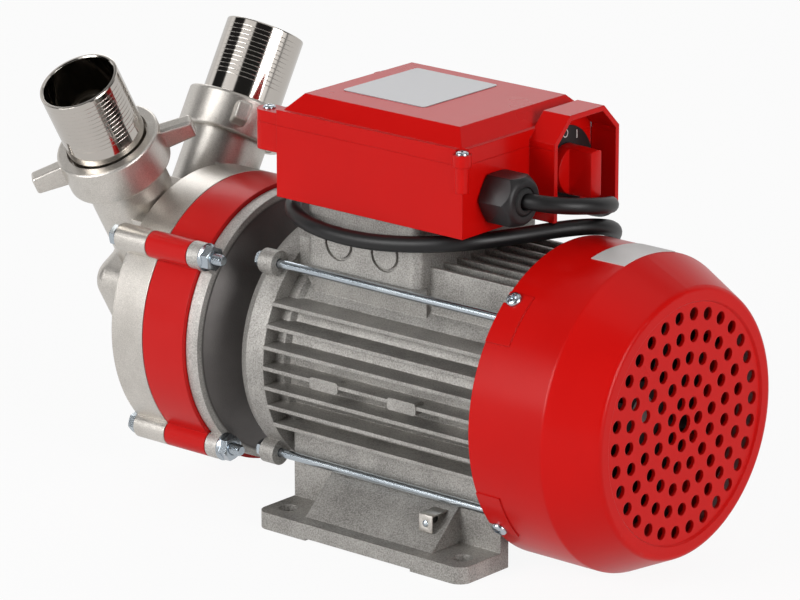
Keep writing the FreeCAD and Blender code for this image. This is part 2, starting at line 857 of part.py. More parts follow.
def fan_cover():
    shell = cover_form(0).cut(cover_form(cover_wall))
    for i, angle in enumerate(cover_screw_angles()):
        lean = -1 if i % 2 == 0 else 1
        pad = shell_patch(cover_edge_x, cover_pad_length, cover_r - cover_wall / 2, cover_pad_rise
                          + cover_wall / 2, -lean * cover_pad_above, lean * cover_pad_below)
        shell = shell.fuse(about_shaft(pad, angle))
    shell = shell.removeSplitter()
    for angle in cover_screw_angles():
        half = cover_screw_r + cover_slot_gap
        low, high = shaft_height + cover_r - cover_slot_depth, shaft_height + cover_r + cover_slot_above
        slot = block(cover_edge_x - lap, cover_screw_x, -half, half, low, high)
        end = Part.makeCylinder(half, high - low, V(cover_screw_x, 0, low))
        shell = shell.cut(about_shaft(slot.fuse(end), angle))
    x0, x1 = cover_face_x - cover_wall - cover_round, cover_face_x + lap
    holes = [rod(x0, x1, vent_centre_r)]
    for ring, count in enumerate(vent_counts, 1):
        for i in range(count):
            angle = 2 * math.pi * i / count + vent_phases[ring - 1]
            holes.append(rod(x0, x1, vent_hole_r, vent_pitch * ring * math.sin(angle),
                             shaft_height + vent_pitch * ring * math.cos(angle)))
    return shell.cut(Part.makeCompound(holes))


def shell_patch(x0, length, r, thickness, start, end):
    # A curved patch round the shaft axis, between two angles from straight up towards +Y
    ring = tube(x0, x0 + length, r + thickness, r)
    wedge = [(0, shaft_height)]
    for angle in (start, end):
        reach = 2 * r
        wedge.append((reach * math.sin(math.radians(angle)),
                      shaft_height + reach * math.cos(math.radians(angle))))
    return ring.common(prism_x(wedge, x0 - lap, x0 + length + lap))


def cover_label():
    return shell_patch(label_x0, label_length, cover_r, label_t, label_from, label_to)


def bossed_ring(x0, x1, r):
    # A disc with four bolt bosses, each tied to it by a web
    pieces = [rod(x0, x1, r)]
    for y, z in bolt_places:
        pieces.append(rod(x0, x1, bolt_boss_r, y, z))
        angle = math.degrees(math.atan2(y, z - shaft_height))
        web = block(x0, x1, -bolt_web / 2, bolt_web / 2, shaft_height + r - bolt_web,
                    shaft_height + math.hypot(y, z - shaft_height))
        pieces.append(about_shaft(web, -angle))
    return join(pieces)


def bolt_holes(shape, x0, x1):
    for y, z in bolt_places:
        shape = shape.cut(rod(x0 - lap, x1 + lap, bolt_hole_r, y, z))
    return shape


def pump_bracket():
    x0, x1, hub_end = flange_x0, flange_x1, shield_front_x
    pieces = [bossed_ring(x0, x1, flange_r)]
    pieces.append(turned([(x0, 0), (x1 + dish_depth, 0), (x1 + dish_depth, hub_r + dish_edge),
                          (x1, flange_r - flange_step), (x0, flange_r - flange_step)]))
    pieces.append(rod(x1, hub_end, hub_r))
    bracket = join(pieces)
    for i in range(brace_count):
        brace = block(x1 + lap, hub_end, -brace_t / 2, brace_t / 2, shaft_height + hub_r - brace_root,
                      shaft_height + front_shield_r - brace_inset)
        notch_middle = V(x1 + brace_notch_start, brace_t / 2 + lap,
                         shaft_height + front_shield_r - brace_notch_inset)
        notch = Part.makeCylinder(hub_end - x1 - brace_notch_margin, brace_t + 2 * lap, notch_middle,
                                  V(0, -1, 0))
        brace = brace.cut(notch)
        bracket = bracket.fuse(about_shaft(brace, brace_turn + 360 / brace_count * i))
    bracket = bracket.removeSplitter()
    floor_x = x1 + dish_depth - dish_wall
    inner = turned([(x1 - lap, hub_r - dish_wall), (floor_x, hub_r - dish_wall), (floor_x, hub_r),
                    (x1 - lap, flange_r - dish_mouth)])
    bracket = bracket.cut(inner)
    seat_end = hub_end - hub_floor_t
    bracket = bracket.cut(rod(x0 - lap, seat_end - seat_t, seal_bore_r))
    bracket = bracket.cut(rod(x0 - lap, seat_end, seat_bore_r))
    bracket = bracket.cut(rod(x0 - lap, hub_end + lap, shaft_r + hub_shaft_gap))
    return bolt_holes(bracket, x0, x1)


def pump_ring():
    ring = bossed_ring(ring_x0, ring_x1, ring_r)
    ring = ring.cut(rod(ring_x0 - lap, ring_x1 + lap, chamber_r))
    return bolt_holes(ring, ring_x0, ring_x1)


def casing_gasket(x0):
    return tube(x0, x0 + gasket_t, flange_r - gasket_inset, chamber_r + gasket_bore_gap)


def place_port(shape, side):
    # Stands a shape that was made along +Z at the origin on the left (-1) or right (1) port
    shape = shape.copy()
    shape.rotate(V(0, 0, 0), V(1, 0, 0), -side * port_tilt)
    shape.translate(V(port_x, 0, port_z))
    return shape


def casing_nose():
    # A round belly below the ports, with a shoulder that rises along each of them
    x0, x1 = casing_x0 - nose_reach, casing_x0 + casing_rim_t / 2
    inner = nose_shoulder * math.tan(math.radians(port_tilt))
    pieces = [rod(x0, x1, nose_r, 0, port_z)]
    for side in (-1, 1):
        y0, y1 = sorted((side * nose_r, -side * inner))
        shoulder = Part.makeBox(x1 - x0, y1 - y0, nose_shoulder, V(x0 - port_x, y0, 0))
        shoulder = fillet_where(shoulder, nose_corner, lambda edge: edge.CenterOfMass.z
                                > nose_shoulder - near
                                and abs(edge.CenterOfMass.y - side * nose_r) < near)
        pieces.append(place_port(shoulder, side))
    nose = join(pieces)
    return fillet_where(nose, nose_round, lambda edge: edge.CenterOfMass.x < x0 + near)


def front_casing():
    x0, x1 = casing_x0, casing_x1
    pieces = [bossed_ring(x0, x1, ring_r), casing_nose()]
    for side in (-1, 1):
        neck = Part.makeCylinder(port_neck_r, port_neck_length - port_neck_start,
                                 V(0, 0, port_neck_start))
        thread = Part.makeCylinder(port_thread_r, port_thread_length,
                                   V(0, 0, port_neck_length - port_thread_length))
        bridge = Part.makeBox(x0 + bridge_sink - port_x, 2 * (port_neck_r - bridge_inset), bridge_length,
                              V(0, bridge_inset - port_neck_r, bridge_start))
        for piece in (neck, thread, bridge):
            pieces.append(place_port(piece, side))
    casing = join(pieces)
    for side in (-1, 1):
        bore = Part.makeCylinder(port_bore_r, port_neck_length + lap - port_bore_start,
                                 V(0, 0, port_bore_start))
        casing = casing.cut(place_port(bore, side))
        y = side * kidney_offset * math.sin(math.radians(port_tilt))
        z = port_z + kidney_offset * math.cos(math.radians(port_tilt))
        casing = casing.cut(rod(port_x, x1 + lap, kidney_r, y, z))
    casing = casing.cut(rod(x1 - clip_room_depth, x1 + lap, clip_r + clip_room))
    return bolt_holes(casing, x0, x1)


def pump_bolts():
    bolts = []
    seat = casing_x0 - bolt_washer_t
    for y, z in bolt_places:
        head = hexagon_x(seat - bolt_head_t, seat, bolt_flats, y, z)
        bolts.append(head.fuse(rod(seat, seat + bolt_length, bolt_r, y, z)))
    return bolts


def bolt_washers():
    return [tube(casing_x0 - bolt_washer_t, casing_x0, bolt_washer_r, bolt_r + screw_gap, y, z)
            for y, z in bolt_places]


def pump_nuts():
    nuts = []
    x0 = flange_x1
    for y, z in bolt_places:
        nut = hexagon_x(x0, x0 + nut_t, bolt_flats, y, z)
        nut = nut.fuse(rod(x0, x0 + nut_flange_t, nut_flange_r, y, z))
        nuts.append(nut.cut(rod(x0 - lap, x0 + nut_t + lap, bolt_r + seat_gap, y, z)))
    return nuts


def impeller():
    x0, x1 = ring_x0 + impeller_gap, ring_x1 - impeller_gap
    hub = rod(x0, x1, impeller_hub_r)
    middle = (x0 + x1) / 2
    web = rod(middle - impeller_web_t / 2, middle + impeller_web_t / 2, impeller_r - impeller_web_inset)
    blade = block(x0, x1, -impeller_blade_t / 2, impeller_blade_t / 2,
                  shaft_height + impeller_hub_r - lap, shaft_height + impeller_r)
    blades = [about_shaft(blade, 360 / impeller_blades * i) for i in range(impeller_blades)]
    wheel = join([hub, web] + blades).common(rod(x0, x1, impeller_r))
    wheel = wheel.cut(rod(x0 - lap, x1 + lap, pump_shaft_r))
    return wheel.cut(rotor_key(impeller_key_x0, impeller_key_x1, pump_shaft_r))


def seal_head():
    # The rotating half of the shaft seal: bellows body and carbon face
    x0 = flange_x0 + seal_start
    x1 = shield_front_x - hub_floor_t - seat_t
    body = tube(x0, x1 - seal_face_t, seal_bore_r - seal_body_gap, pump_shaft_r)
    face = tube(x1 - seal_face_t, x1 - seal_gap, seal_bore_r - seal_face_gap, pump_shaft_r)
    return join([body, face])


def seal_seat():
    x1 = shield_front_x - hub_floor_t
    return tube(x1 - seat_t, x1, seat_bore_r - seat_gap, pump_shaft_r + seal_seat_gap)


def hose_tail():
    z0, z1 = tail_base, tail_base + tail_length
    neck = z0 + tail_collar_t
    plain = neck + tail_relief
    barb_zone = z1 - plain - tail_plain
    pitch = (barb_zone - tail_mouth_plain) / tail_barbs
    outline = [(tail_r - tail_wall, z0), (tail_collar_r, z0), (tail_collar_r, neck),
               (tail_r - tail_relief_depth, neck), (tail_r - tail_relief_depth, plain),
               (tail_r, plain), (tail_r, plain + tail_plain)]
    z = plain + tail_plain
    for _ in range(tail_barbs):
        outline += [(tail_r, z + tail_barb_step), (tail_r - tail_barb_depth, z + pitch - tail_barb_flat)]
        z += pitch
        outline.append((tail_r, z))
    outline += [(tail_r, z1 - tail_mouth_length), (tail_r - tail_mouth_bevel, z1), (tail_r - tail_wall, z1)]
    wire = Part.makePolygon([V(r, 0, height) for r, height in outline + outline[:1]])
    return Part.Face(wire).revolve(V(0, 0, 0), V(0, 0, 1), 360)


def union_nut(side):
    z0, z1 = union_base, union_base + union_height
    body = Part.makeCylinder(union_r, union_height, V(0, 0, z0))
    body = fillet_where(body, union_round, is_round)
    mid, root = (z0 + z1) / 2, union_r - ear_sink
    ears = Part.makePolygon([V(-ear_reach, 0, mid - ear_tip / 2), V(-root, 0, mid - ear_root / 2),
                             V(root, 0, mid - ear_root / 2), V(ear_reach, 0, mid - ear_tip / 2),
                             V(ear_reach, 0, mid + ear_tip / 2), V(root, 0, mid + ear_root / 2),
                             V(-root, 0, mid + ear_root / 2), V(-ear_reach, 0, mid + ear_tip / 2),
                             V(-ear_reach, 0, mid - ear_tip / 2)])
    bar = Part.Face(ears).extrude(V(0, ear_t, 0))
    bar.translate(V(0, -ear_t / 2, 0))
    bar = fillet_where(bar, ear_round, lambda edge: abs(edge.CenterOfMass.x) > union_r)
    bar.rotate(V(0, 0, 0), V(0, 0, 1), -side * ear_turn)
    nut = join([body, bar])
    base = V(0, 0, z0 - lap)
    nut = nut.cut(Part.makeCylinder(tail_r + union_lip_gap, union_height + 2 * lap, base))
    return nut.cut(Part.makeCylinder(port_thread_r + thread_gap, z1 - union_lip_t - z0 + lap, base))


def port_gasket():
    ring = Part.makeCylinder(tail_collar_r - port_gasket_inset, port_gasket_t, V(0, 0, port_neck_length))
    return ring.cut(Part.makeCylinder(port_bore_r + port_gasket_gap, port_gasket_t + 2 * lap,
                                      V(0, 0, port_neck_length - lap)))


def ear_places():
    return [(box_x0 - ear_reach_x, side * (box_half - ear_inset_y)) for side in (-1, 1)]


def corner_places():
    return [(box_x1 - corner_post_inset, side * (box_half - corner_post_inset)) for side in (-1, 1)]


def lid_screw_places():
    return ear_places() + corner_places()


def box_ears(z0, z1):
    # Rounded ears with the screws of the pump end, between two heights
    ears = []
    for x, y in ear_places():
        ears.append(Part.makeCylinder(ear_r, z1 - z0, V(x, y, z0)))
        ears.append(block(x, box_x0 + lap, y - ear_r, y + ear_r, z0, z1))
    return ears


def corner_posts(z0, z1, r):
    return [Part.makeCylinder(r, z1 - z0, V(x, y, z0)) for x, y in corner_places()]


def shroud_outline():
    y0, y1 = 0.0, box_half
    c = shroud_chamfer
    return [(y0, box_z0), (y1, box_z0), (y1, shroud_z1 - c), (y1 - c, shroud_z1),
            (y0 + c, shroud_z1), (y0, shroud_z1 - c)]


def shroud_hollow():
    w, c = box_wall, shroud_chamfer + shroud_bend
    inner = [(w, box_z0 - lap), (box_half - w, box_z0 - lap), (box_half - w, shroud_z1 - c),
             (box_half - c, shroud_z1 - w), (c, shroud_z1 - w), (w, shroud_z1 - c)]
    return prism_x(inner, box_x1, shroud_x1 + lap)


def shroud_walls(z0, z1):
    # The hood round the switch knob, open at its end and below, between two heights
    hood = prism_x(shroud_outline(), box_x1 - lap, shroud_x1).cut(shroud_hollow())
    return hood.common(block(box_x1 - lap, shroud_x1 + lap, -lap, box_half + lap, z0, z1))


def terminal_box():
    w = box_wall
    tray = block(box_x0, box_x1, -box_half, box_half, box_z0, box_split_z)
    pieces = [tray] + box_ears(box_rim_z - ear_length, box_split_z)
    pieces += corner_posts(box_rim_z - corner_post_length, box_split_z, corner_post_low_r)
    pieces.append(shroud_walls(box_z0, box_split_z))
    box = join(pieces).cut(shroud_hollow())
    box = box.cut(block(box_x0 + w, box_x1 - w, -box_half + w, box_half - w, box_z0 + w, box_split_z + lap))
    box = box.cut(block(pedestal_middle - box_floor_hole, pedestal_middle + box_floor_hole,
                        -box_floor_hole, box_floor_hole, box_z0 - lap, box_z0 + w + lap))
    box = box.cut(rod(box_x1 - w - lap, box_x1 + lap, gland_thread_r + screw_gap, gland_y, gland_z))
    box = box.cut(rod(box_x1 - w - lap, box_x1 + lap, switch_boss_r + screw_gap, switch_y, switch_z))
    for x, y in lid_screw_places():
        bottom = V(x, y, box_split_z - lid_screw_bore)
        box = box.cut(Part.makeCylinder(lid_screw_r, lid_screw_bore + lap, bottom))
    return box


def box_lid():
    z0, z1, z2 = box_split_z, box_rim_z, box_rim_z + lid_rise
    ledge, inset = box_ledge, box_ledge + lid_inset
    skirt = block(box_x0, box_x1, -box_half, box_half, z0, z1)
    lower = Part.makePolygon(rectangle(ledge, z1) + rectangle(ledge, z1)[:1])
    upper = Part.makePolygon(rectangle(inset, z2) + rectangle(inset, z2)[:1])
    crown = Part.makeLoft([lower, upper], True, True)
    pieces = [skirt, crown, shroud_walls(z0, shroud_z1)] + box_ears(z0, lid_seat_z)
    pieces += corner_posts(z0, lid_seat_z, corner_post_r)
    lid = join(pieces).cut(shroud_hollow())
    w = box_wall
    lid = lid.cut(block(box_x0 + w, box_x1 - w, -box_half + w, box_half - w, z0 - lap, z1 - w))
    lid = lid.cut(block(box_x0 + inset, box_x1 - inset, -box_half + inset, box_half - inset,
                        z1 - w - lap, z2 - w))
    for x, y in lid_screw_places():
        lid = lid.cut(Part.makeCylinder(lid_screw_r + screw_gap, box_skirt + 2 * lap, V(x, y, z0 - lap)))
        lid = lid.cut(Part.makeCylinder(lid_screw_head_r + hole_gap, box_skirt + lid_rise,
                                        V(x, y, lid_seat_z)))
    return lid


def rectangle(inset, z):
    return [V(box_x0 + inset, -box_half + inset, z), V(box_x1 - inset, -box_half + inset, z),
            V(box_x1 - inset, box_half - inset, z), V(box_x0 + inset, box_half - inset, z)]


def lid_screws():
    screws = []
    for x, y in lid_screw_places():
        head = Part.makeCylinder(lid_screw_head_r, lid_screw_head_t, V(x, y, lid_seat_z))
        head = fillet_where(head, screw_head_round,
                            lambda edge: edge.CenterOfMass.z > lid_seat_z + lid_screw_head_t - near)
        shank = Part.makeCylinder(lid_screw_r - seat_gap, lid_seat_z - box_split_z + lid_screw_length,
                                  V(x, y, box_split_z - lid_screw_length))
        screws.append(head.fuse(shank))
    return screws


def box_gasket():
    x1, w = pedestal_x1, pedestal_wall
    outer = rounded_block(pedestal_x0, x1, pedestal_half, box_seat_z, box_z0, pedestal_corner)
    return outer.cut(rounded_block(pedestal_x0 + w, x1 - w, pedestal_half - w, box_seat_z - lap,
                                   box_z0 + lap, pedestal_corner - w))


def name_plate():
    z = box_rim_z + lid_rise
    plate = block(plate_x0, plate_x0 + plate_length, plate_y0, plate_y0 + plate_width, z, z + plate_t)
    return fillet_where(plate, plate_round, lambda edge: runs_along(edge, V(0, 0, 1)))


def switch_dial():
    return tube(box_x1, box_x1 + dial_t, dial_r, knob_stem_r + hole_gap, switch_y, switch_z)


def switch_knob():
    x0 = box_x1 + dial_t + turning_gap
    base = rod(x0, x0 + knob_base_t, knob_r, switch_y, switch_z)
    bar = block(x0, box_x1 + knob_front, switch_y - knob_bar_t / 2, switch_y + knob_bar_t / 2,
                switch_z - knob_r, switch_z + knob_r)
    bar = bar.common(rod(x0, box_x1 + knob_front + lap, knob_r, switch_y, switch_z))
    stem = rod(x0 - knob_stem_length, x0 + lap, knob_stem_r, switch_y, switch_z)
    return join([base, bar, stem])


def switch_body():
    # The cam switch behind the wall, with a boss through it that carries the knob's stem
    x1 = box_x1 - box_wall
    x0 = x1 - switch_body_depth
    body = block(x0, x1, switch_y - switch_body_near, switch_y + switch_body_far,
                 switch_z - switch_body_below, switch_z + switch_body_above)
    boss = rod(x1 - lap, box_x1 - switch_boss_setback, switch_boss_r, switch_y, switch_z)
    bore = rod(x0 + switch_bore_start, box_x1 + lap, knob_stem_r + running_gap, switch_y, switch_z)
    return join([body, boss]).cut(bore)


def gland_body():
    x1 = box_x1 + gland_base_t
    hexagon = hexagon_x(box_x1, x1, gland_flats, gland_y, gland_z)
    thread = rod(box_x1 - box_wall - gland_thread_length, box_x1 + lap, gland_thread_r, gland_y, gland_z)
    nipple = rod(x1 - lap, x1 + gland_nipple_length, gland_nipple_r, gland_y, gland_z)
    body = join([hexagon, thread, nipple])
    return body.cut(rod(box_x1 + gland_seat, x1 + gland_nipple_length + lap, cord_r + seat_gap,
                        gland_y, gland_z))


def gland_nut():
    x0 = box_x1 + gland_base_t + gland_nut_gap
    x1 = x0 + gland_nut_t
    nut = rod(x0, x1, gland_nut_r, gland_y, gland_z)
    nut = fillet_where(nut, gland_nut_taper, lambda edge: edge.CenterOfMass.x > x1 - near)
    nut = nut.cut(rod(x0 - lap, x0 + gland_nipple_length, gland_nipple_r + seat_gap, gland_y, gland_z))
    return nut.cut(rod(x0 - lap, x1 + lap, cord_r + gland_mouth_gap, gland_y, gland_z))


def gland_lock_nut():
    x1 = box_x1 - box_wall
    x0 = x1 - gland_lock_t
    nut = hexagon_x(x0, x1, gland_lock_flats, gland_y, gland_z)
    return nut.cut(rod(x0 - lap, x1 + lap, gland_thread_r + seat_gap, gland_y, gland_z))


def run_capacitor():
    x0 = box_x0 + box_wall + capacitor_gap
    z = box_z0 + box_wall + capacitor_r
    can = rod(x0, x0 + capacitor_length, capacitor_r, capacitor_y, z)
    return fillet_where(can, capacitor_round, is_round)


def terminal_block():
    x0 = box_x0 + box_wall + block_gap
    z0 = box_z0 + box_wall
    body = block(x0, x0 + block_size_x, block_y, block_y + block_size_y, z0, z0 + block_size_z)
    for i in range(block_poles):
        bottom = V(x0 + block_size_x * (i + 0.5) / block_poles, block_y + block_size_y / 2,
                   z0 + block_size_z - block_screw_depth)
        body = body.cut(Part.makeCylinder(block_screw_r, block_screw_depth + lap, bottom))
    return body


def cord_tube(points):
    # Straight runs joined by tangent arcs, as one swept tube
    points = [V(*point) for point in points]
    edges = []
    start = points[0]
    for before, corner, after in zip(points, points[1:], points[2:]):
        to_corner, from_corner = corner - before, after - corner
        cut_back = cord_bend_share * min(to_corner.Length, from_corner.Length)
        turn = to_corner.getAngle(from_corner)
        first = corner - to_corner.normalize() * cut_back
        last = corner + from_corner.normalize() * cut_back
        radius = cut_back / math.tan(turn / 2)
        inward = (first + last) * 0.5 - corner
        middle = corner + inward.normalize() * (math.hypot(radius, cut_back) - radius)
        edges.append(Part.LineSegment(start, first).toShape())
        edges.append(Part.Arc(first, middle, last).toShape())
        print("cord radius", round(radius, 1), "turn", round(math.degrees(turn)))
        start = last
    edges.append(Part.LineSegment(start, points[-1]).toShape())
    path = Part.Wire(edges)
    circle = Part.Wire(Part.makeCircle(cord_r, points[0], points[1] - points[0]))
    solid = path.makePipeShell([circle], True, True)
    print("cord length", round(path.Length, 1), "volume share",
          round(solid.Volume / (math.pi * cord_r ** 2 * path.Length), 4))
    return solid


def cord_coil():
    # The coil's turns as one closed ring with rounded edges
    inner, outer, top = coil_mid_r - coil_pack, coil_mid_r + coil_pack, 2 * coil_pack
    wire = Part.makePolygon([V(inner, 0, 0), V(outer, 0, 0), V(outer, 0, top), V(inner, 0, top),
                             V(inner, 0, 0)])
    ring = Part.Face(wire).revolve(V(0, 0, 0), V(0, 0, 1), 360)
    ring = fillet_where(ring, coil_round, is_round)
    ring.translate(V(coil_x, coil_y, 0))
    return ring


def coil_tie():
    # A strap over the coil's turns, from the floor up on both sides
    strap = Part.makeBox(2 * coil_pack + 2 * tie_t, tie_width, 2 * coil_pack + tie_t,
                         V(coil_mid_r - coil_pack - tie_t, -tie_width / 2, 0))
    strap.rotate(V(0, 0, 0), V(0, 0, 1), tie_angle)
    strap.translate(V(coil_x, coil_y, 0))
    return strap.cut(cord_coil())


def plug_frame():
    end, before = V(*tail_route[-1]), V(*tail_route[-2])
    along = end - before
    along.normalize()
    return end, along


def plug():
    end, along = plug_frame()
    neck = Part.makeCone(plug_neck_r, plug_neck_r + plug_neck_flare, plug_neck_length, end, along)
    start = end + along * plug_neck_length
    body = Part.makeCylinder(plug_r, plug_length, start, along)
    body = fillet_where(body, plug_round, lambda edge: is_round(edge)
                        and (edge.CenterOfMass - start).Length < near)
    return join([neck, body])


def plug_pins():
    end, along = plug_frame()
    face = end + along * (plug_neck_length + plug_length)
    across = V(0, 0, 1).cross(along)
    across.normalize()
    return [Part.makeCylinder(plug_pin_r, plug_pin_length, face + across * (side * plug_pin_spread / 2),
                              along) for side in (-1, 1)]


save("motor_foot", motor_foot())
save("motor_housing", motor_housing())
save("front_shield", front_shield())
save("rear_shield", rear_shield())
save("tie_rods", *tie_rods())
save("tie_rod_nuts", *rod_nuts())
save("stator_core", stator_core())
save("stator_windings", *stator_windings())
save("front_bearing", bearing(front_bearing_x, front_bearing_t, front_bearing_r, shaft_r))
save("rear_bearing", bearing(rear_bearing_x, rear_bearing_t, rear_bearing_r, tail_shaft_r))
save("bearing_spring", bearing_spring())
save("rotor_shaft", rotor_shaft())
save("rotor_core", rotor_core())
save("cooling_fan", cooling_fan())
save("fan_key", rotor_key(fan_key_x0, fan_key_x1, tail_shaft_r))
save("impeller", impeller())
save("impeller_key", rotor_key(impeller_key_x0, impeller_key_x1, pump_shaft_r))
save("impeller_clip", tube(clip_x, clip_x + clip_t, clip_r, pump_shaft_r - clip_groove))
save("slinger", tube(slinger_x, slinger_x + slinger_t, slinger_r, shaft_r))
save("seal_head", seal_head())
save("seal_seat", seal_seat())
save("fan_cover", fan_cover())
save("cover_screws", *cover_screws())
save("cover_label", cover_label())
save("pump_bracket", pump_bracket())
save("pump_ring", pump_ring())
save("casing_gaskets", casing_gasket(ring_x0 - gasket_t), casing_gasket(ring_x1))
save("front_casing", front_casing())
save("pump_bolts", *pump_bolts())
save("bolt_washers", *bolt_washers())
save("pump_nuts", *pump_nuts())
for side, word in ((-1, "left"), (1, "right")):
    save(word + "_hose_tail", place_port(hose_tail(), side))
    save(word + "_union_nut", place_port(union_nut(side), side))
save("port_gaskets", place_port(port_gasket(), -1), place_port(port_gasket(), 1))
save("terminal_box", terminal_box())
save("box_lid", box_lid())
save("lid_screws", *lid_screws())
save("box_gasket", box_gasket())
save("name_plate", name_plate())
save("switch_dial", switch_dial())
save("switch_knob", switch_knob())
save("switch_body", switch_body())
save("gland_body", gland_body())
save("gland_nut", gland_nut())
save("gland_lock_nut", gland_lock_nut())
save("run_capacitor", run_capacitor())
save("terminal_block", terminal_block())
save("earth_tab", earth_tab()[0])
save("earth_screw", earth_screw())
save("cord_lead", cord_tube(cord_route).cut(cord_coil()))
save("cord_coil", cord_coil())
save("cord_tail", cord_tube(tail_route).cut(cord_coil()))
save("coil_tie", coil_tie())
save("plug", plug())
save("plug_pins", *plug_pins())
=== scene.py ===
import bpy
import bmesh
import json
import math
from mathutils import Matrix, Vector


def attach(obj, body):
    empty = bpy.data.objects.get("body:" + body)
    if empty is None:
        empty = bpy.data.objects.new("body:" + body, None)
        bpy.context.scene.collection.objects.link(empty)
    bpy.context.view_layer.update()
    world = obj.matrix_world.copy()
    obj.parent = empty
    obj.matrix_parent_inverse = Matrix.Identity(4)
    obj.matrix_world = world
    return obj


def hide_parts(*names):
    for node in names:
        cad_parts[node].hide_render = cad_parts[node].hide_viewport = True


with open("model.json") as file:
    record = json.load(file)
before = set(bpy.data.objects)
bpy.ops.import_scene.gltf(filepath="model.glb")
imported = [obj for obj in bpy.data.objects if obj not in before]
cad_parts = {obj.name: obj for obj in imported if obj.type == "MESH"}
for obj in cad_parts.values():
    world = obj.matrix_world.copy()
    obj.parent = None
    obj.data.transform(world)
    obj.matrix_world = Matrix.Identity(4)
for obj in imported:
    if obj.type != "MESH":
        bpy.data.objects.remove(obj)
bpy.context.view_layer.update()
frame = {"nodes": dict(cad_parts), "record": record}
print("frame loaded:", len(frame["nodes"]), "nodes")

shaftHeight = 0.080
mm = 0.001
fullTurn = 2 * math.pi
weld = 0.000004
pastCut = 1.0  # how far a cutting body runs past a face, in millimetres


# Small helpers

def clearSelection():
    if bpy.context.mode != "OBJECT":
        bpy.ops.object.mode_set(mode="OBJECT")
    bpy.ops.object.select_all(action="DESELECT")


def makeActive(piece):
    clearSelection()
    piece.select_set(True)
    bpy.context.view_layer.objects.active = piece
    return piece


def namePiece(name):
    piece = bpy.context.object
    piece.name = name
    piece.data.name = name
    return piece


def chooseFaces(piece, wanted):  # leaves edit mode on, with only the wanted faces selected
    bpy.ops.object.mode_set(mode="EDIT")
    bpy.ops.mesh.select_mode(type="FACE")
    bpy.ops.mesh.select_all(action="DESELECT")
    shape = bmesh.from_edit_mesh(piece.data)
    for face in shape.faces:
        face.select = wanted(face)
    shape.select_flush(True)
    bmesh.update_edit_mesh(piece.data)


def addModifier(piece, kind, **settings):
    modifier = piece.modifiers.new(kind.lower(), kind)
    for key, value in settings.items():
        setattr(modifier, key, value)
    makeActive(piece)
    bpy.ops.object.modifier_apply(modifier=modifier.name)


def roundEdges(piece, width, segments=2, angle=30):
    addModifier(piece, "BEVEL", width=width, segments=segments, limit_method="ANGLE",
                angle_limit=math.radians(angle), harden_normals=False)


def smoothByAngle(piece, angle=35):
    makeActive(piece)
    bpy.ops.object.shade_smooth_by_angle(angle=math.radians(angle))


def nodeBox(node):  # the low and the high corner of a CAD node, in metres
    piece = frame["nodes"][node]
    corners = [piece.matrix_world @ Vector(corner) for corner in piece.bound_box]
    return [Vector([pick(corner[axis] for corner in corners) for axis in range(3)]) for pick in (min, max)]


def settle(piece):  # puts the object at the origin, with its place in its mesh
    makeActive(piece)
    bpy.ops.object.transform_apply(location=True, rotation=True, scale=True)
    return piece


def turnedPiece(name, profile, steps=48):
    # a closed body spun about Z from (radius, height) pairs in millimetres
    clearSelection()
    bpy.ops.mesh.primitive_plane_add(size=mm)
    piece = namePiece(name)
    bpy.ops.object.mode_set(mode="EDIT")
    bpy.ops.mesh.select_mode(type="VERT")
    bpy.ops.mesh.select_all(action="SELECT")
    bpy.ops.mesh.merge(type="CENTER")
    start = profile[0]
    bpy.ops.transform.translate(value=(start[0] * mm, 0, start[1] * mm))
    for before, point in zip(profile, profile[1:]):
        step = ((point[0] - before[0]) * mm, 0, (point[1] - before[1]) * mm)
        bpy.ops.mesh.extrude_region_move(TRANSFORM_OT_translate={"value": step})
    bpy.ops.mesh.select_all(action="SELECT")
    bpy.ops.mesh.spin(steps=steps, angle=fullTurn, center=(0, 0, 0), axis=(0, 0, 1))
    bpy.ops.mesh.select_all(action="SELECT")
    bpy.ops.mesh.remove_doubles(threshold=weld)
    bpy.ops.mesh.normals_make_consistent(inside=False)
    bpy.ops.object.mode_set(mode="OBJECT")
    return piece


def carve(piece, cutter, operation="DIFFERENCE"):
    addModifier(piece, "BOOLEAN", object=cutter, operation=operation, solver="EXACT")
    bpy.data.objects.remove(cutter, do_unlink=True)
    return piece


def standAlong(piece, place, direction, roll=0.0):
    # turns local Z to the direction and moves the origin to the place, in metres
    turn = Vector(direction).to_track_quat("Z", "Y").to_matrix().to_4x4()
    piece.matrix_world = Matrix.Translation(place) @ turn @ Matrix.Rotation(roll, 4, "Z")
    bpy.context.view_layer.update()
    return settle(piece)


def copyPiece(master, name):
    copy = master.copy()
    copy.data = master.data.copy()
    copy.name = copy.data.name = name
    bpy.context.scene.collection.objects.link(copy)
    return copy


def dress(piece, finish, slot, body, *nodes):
    piece.data.materials.clear()
    piece.data.materials.append(finish)
    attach(piece, body)
    if nodes:
        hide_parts(*nodes)
    return piece


# Shader helpers

class Wire:  # a node's output that takes part in Python expressions
    def __init__(self, board, socket):
        self.board = board
        self.socket = socket

    def combine(self, operation, first, second):
        return self.board.add("ShaderNodeMath", {"operation": operation}, {0: first, 1: second})

    def __add__(self, other):
        return self.combine("ADD", self, other)

    def __sub__(self, other):
        return self.combine("SUBTRACT", self, other)

    def __rsub__(self, other):
        return self.combine("SUBTRACT", other, self)

    def __mul__(self, other):
        return self.combine("MULTIPLY", self, other)

    def __pow__(self, other):
        return self.combine("POWER", self, other)

    __radd__ = __add__
    __rmul__ = __mul__


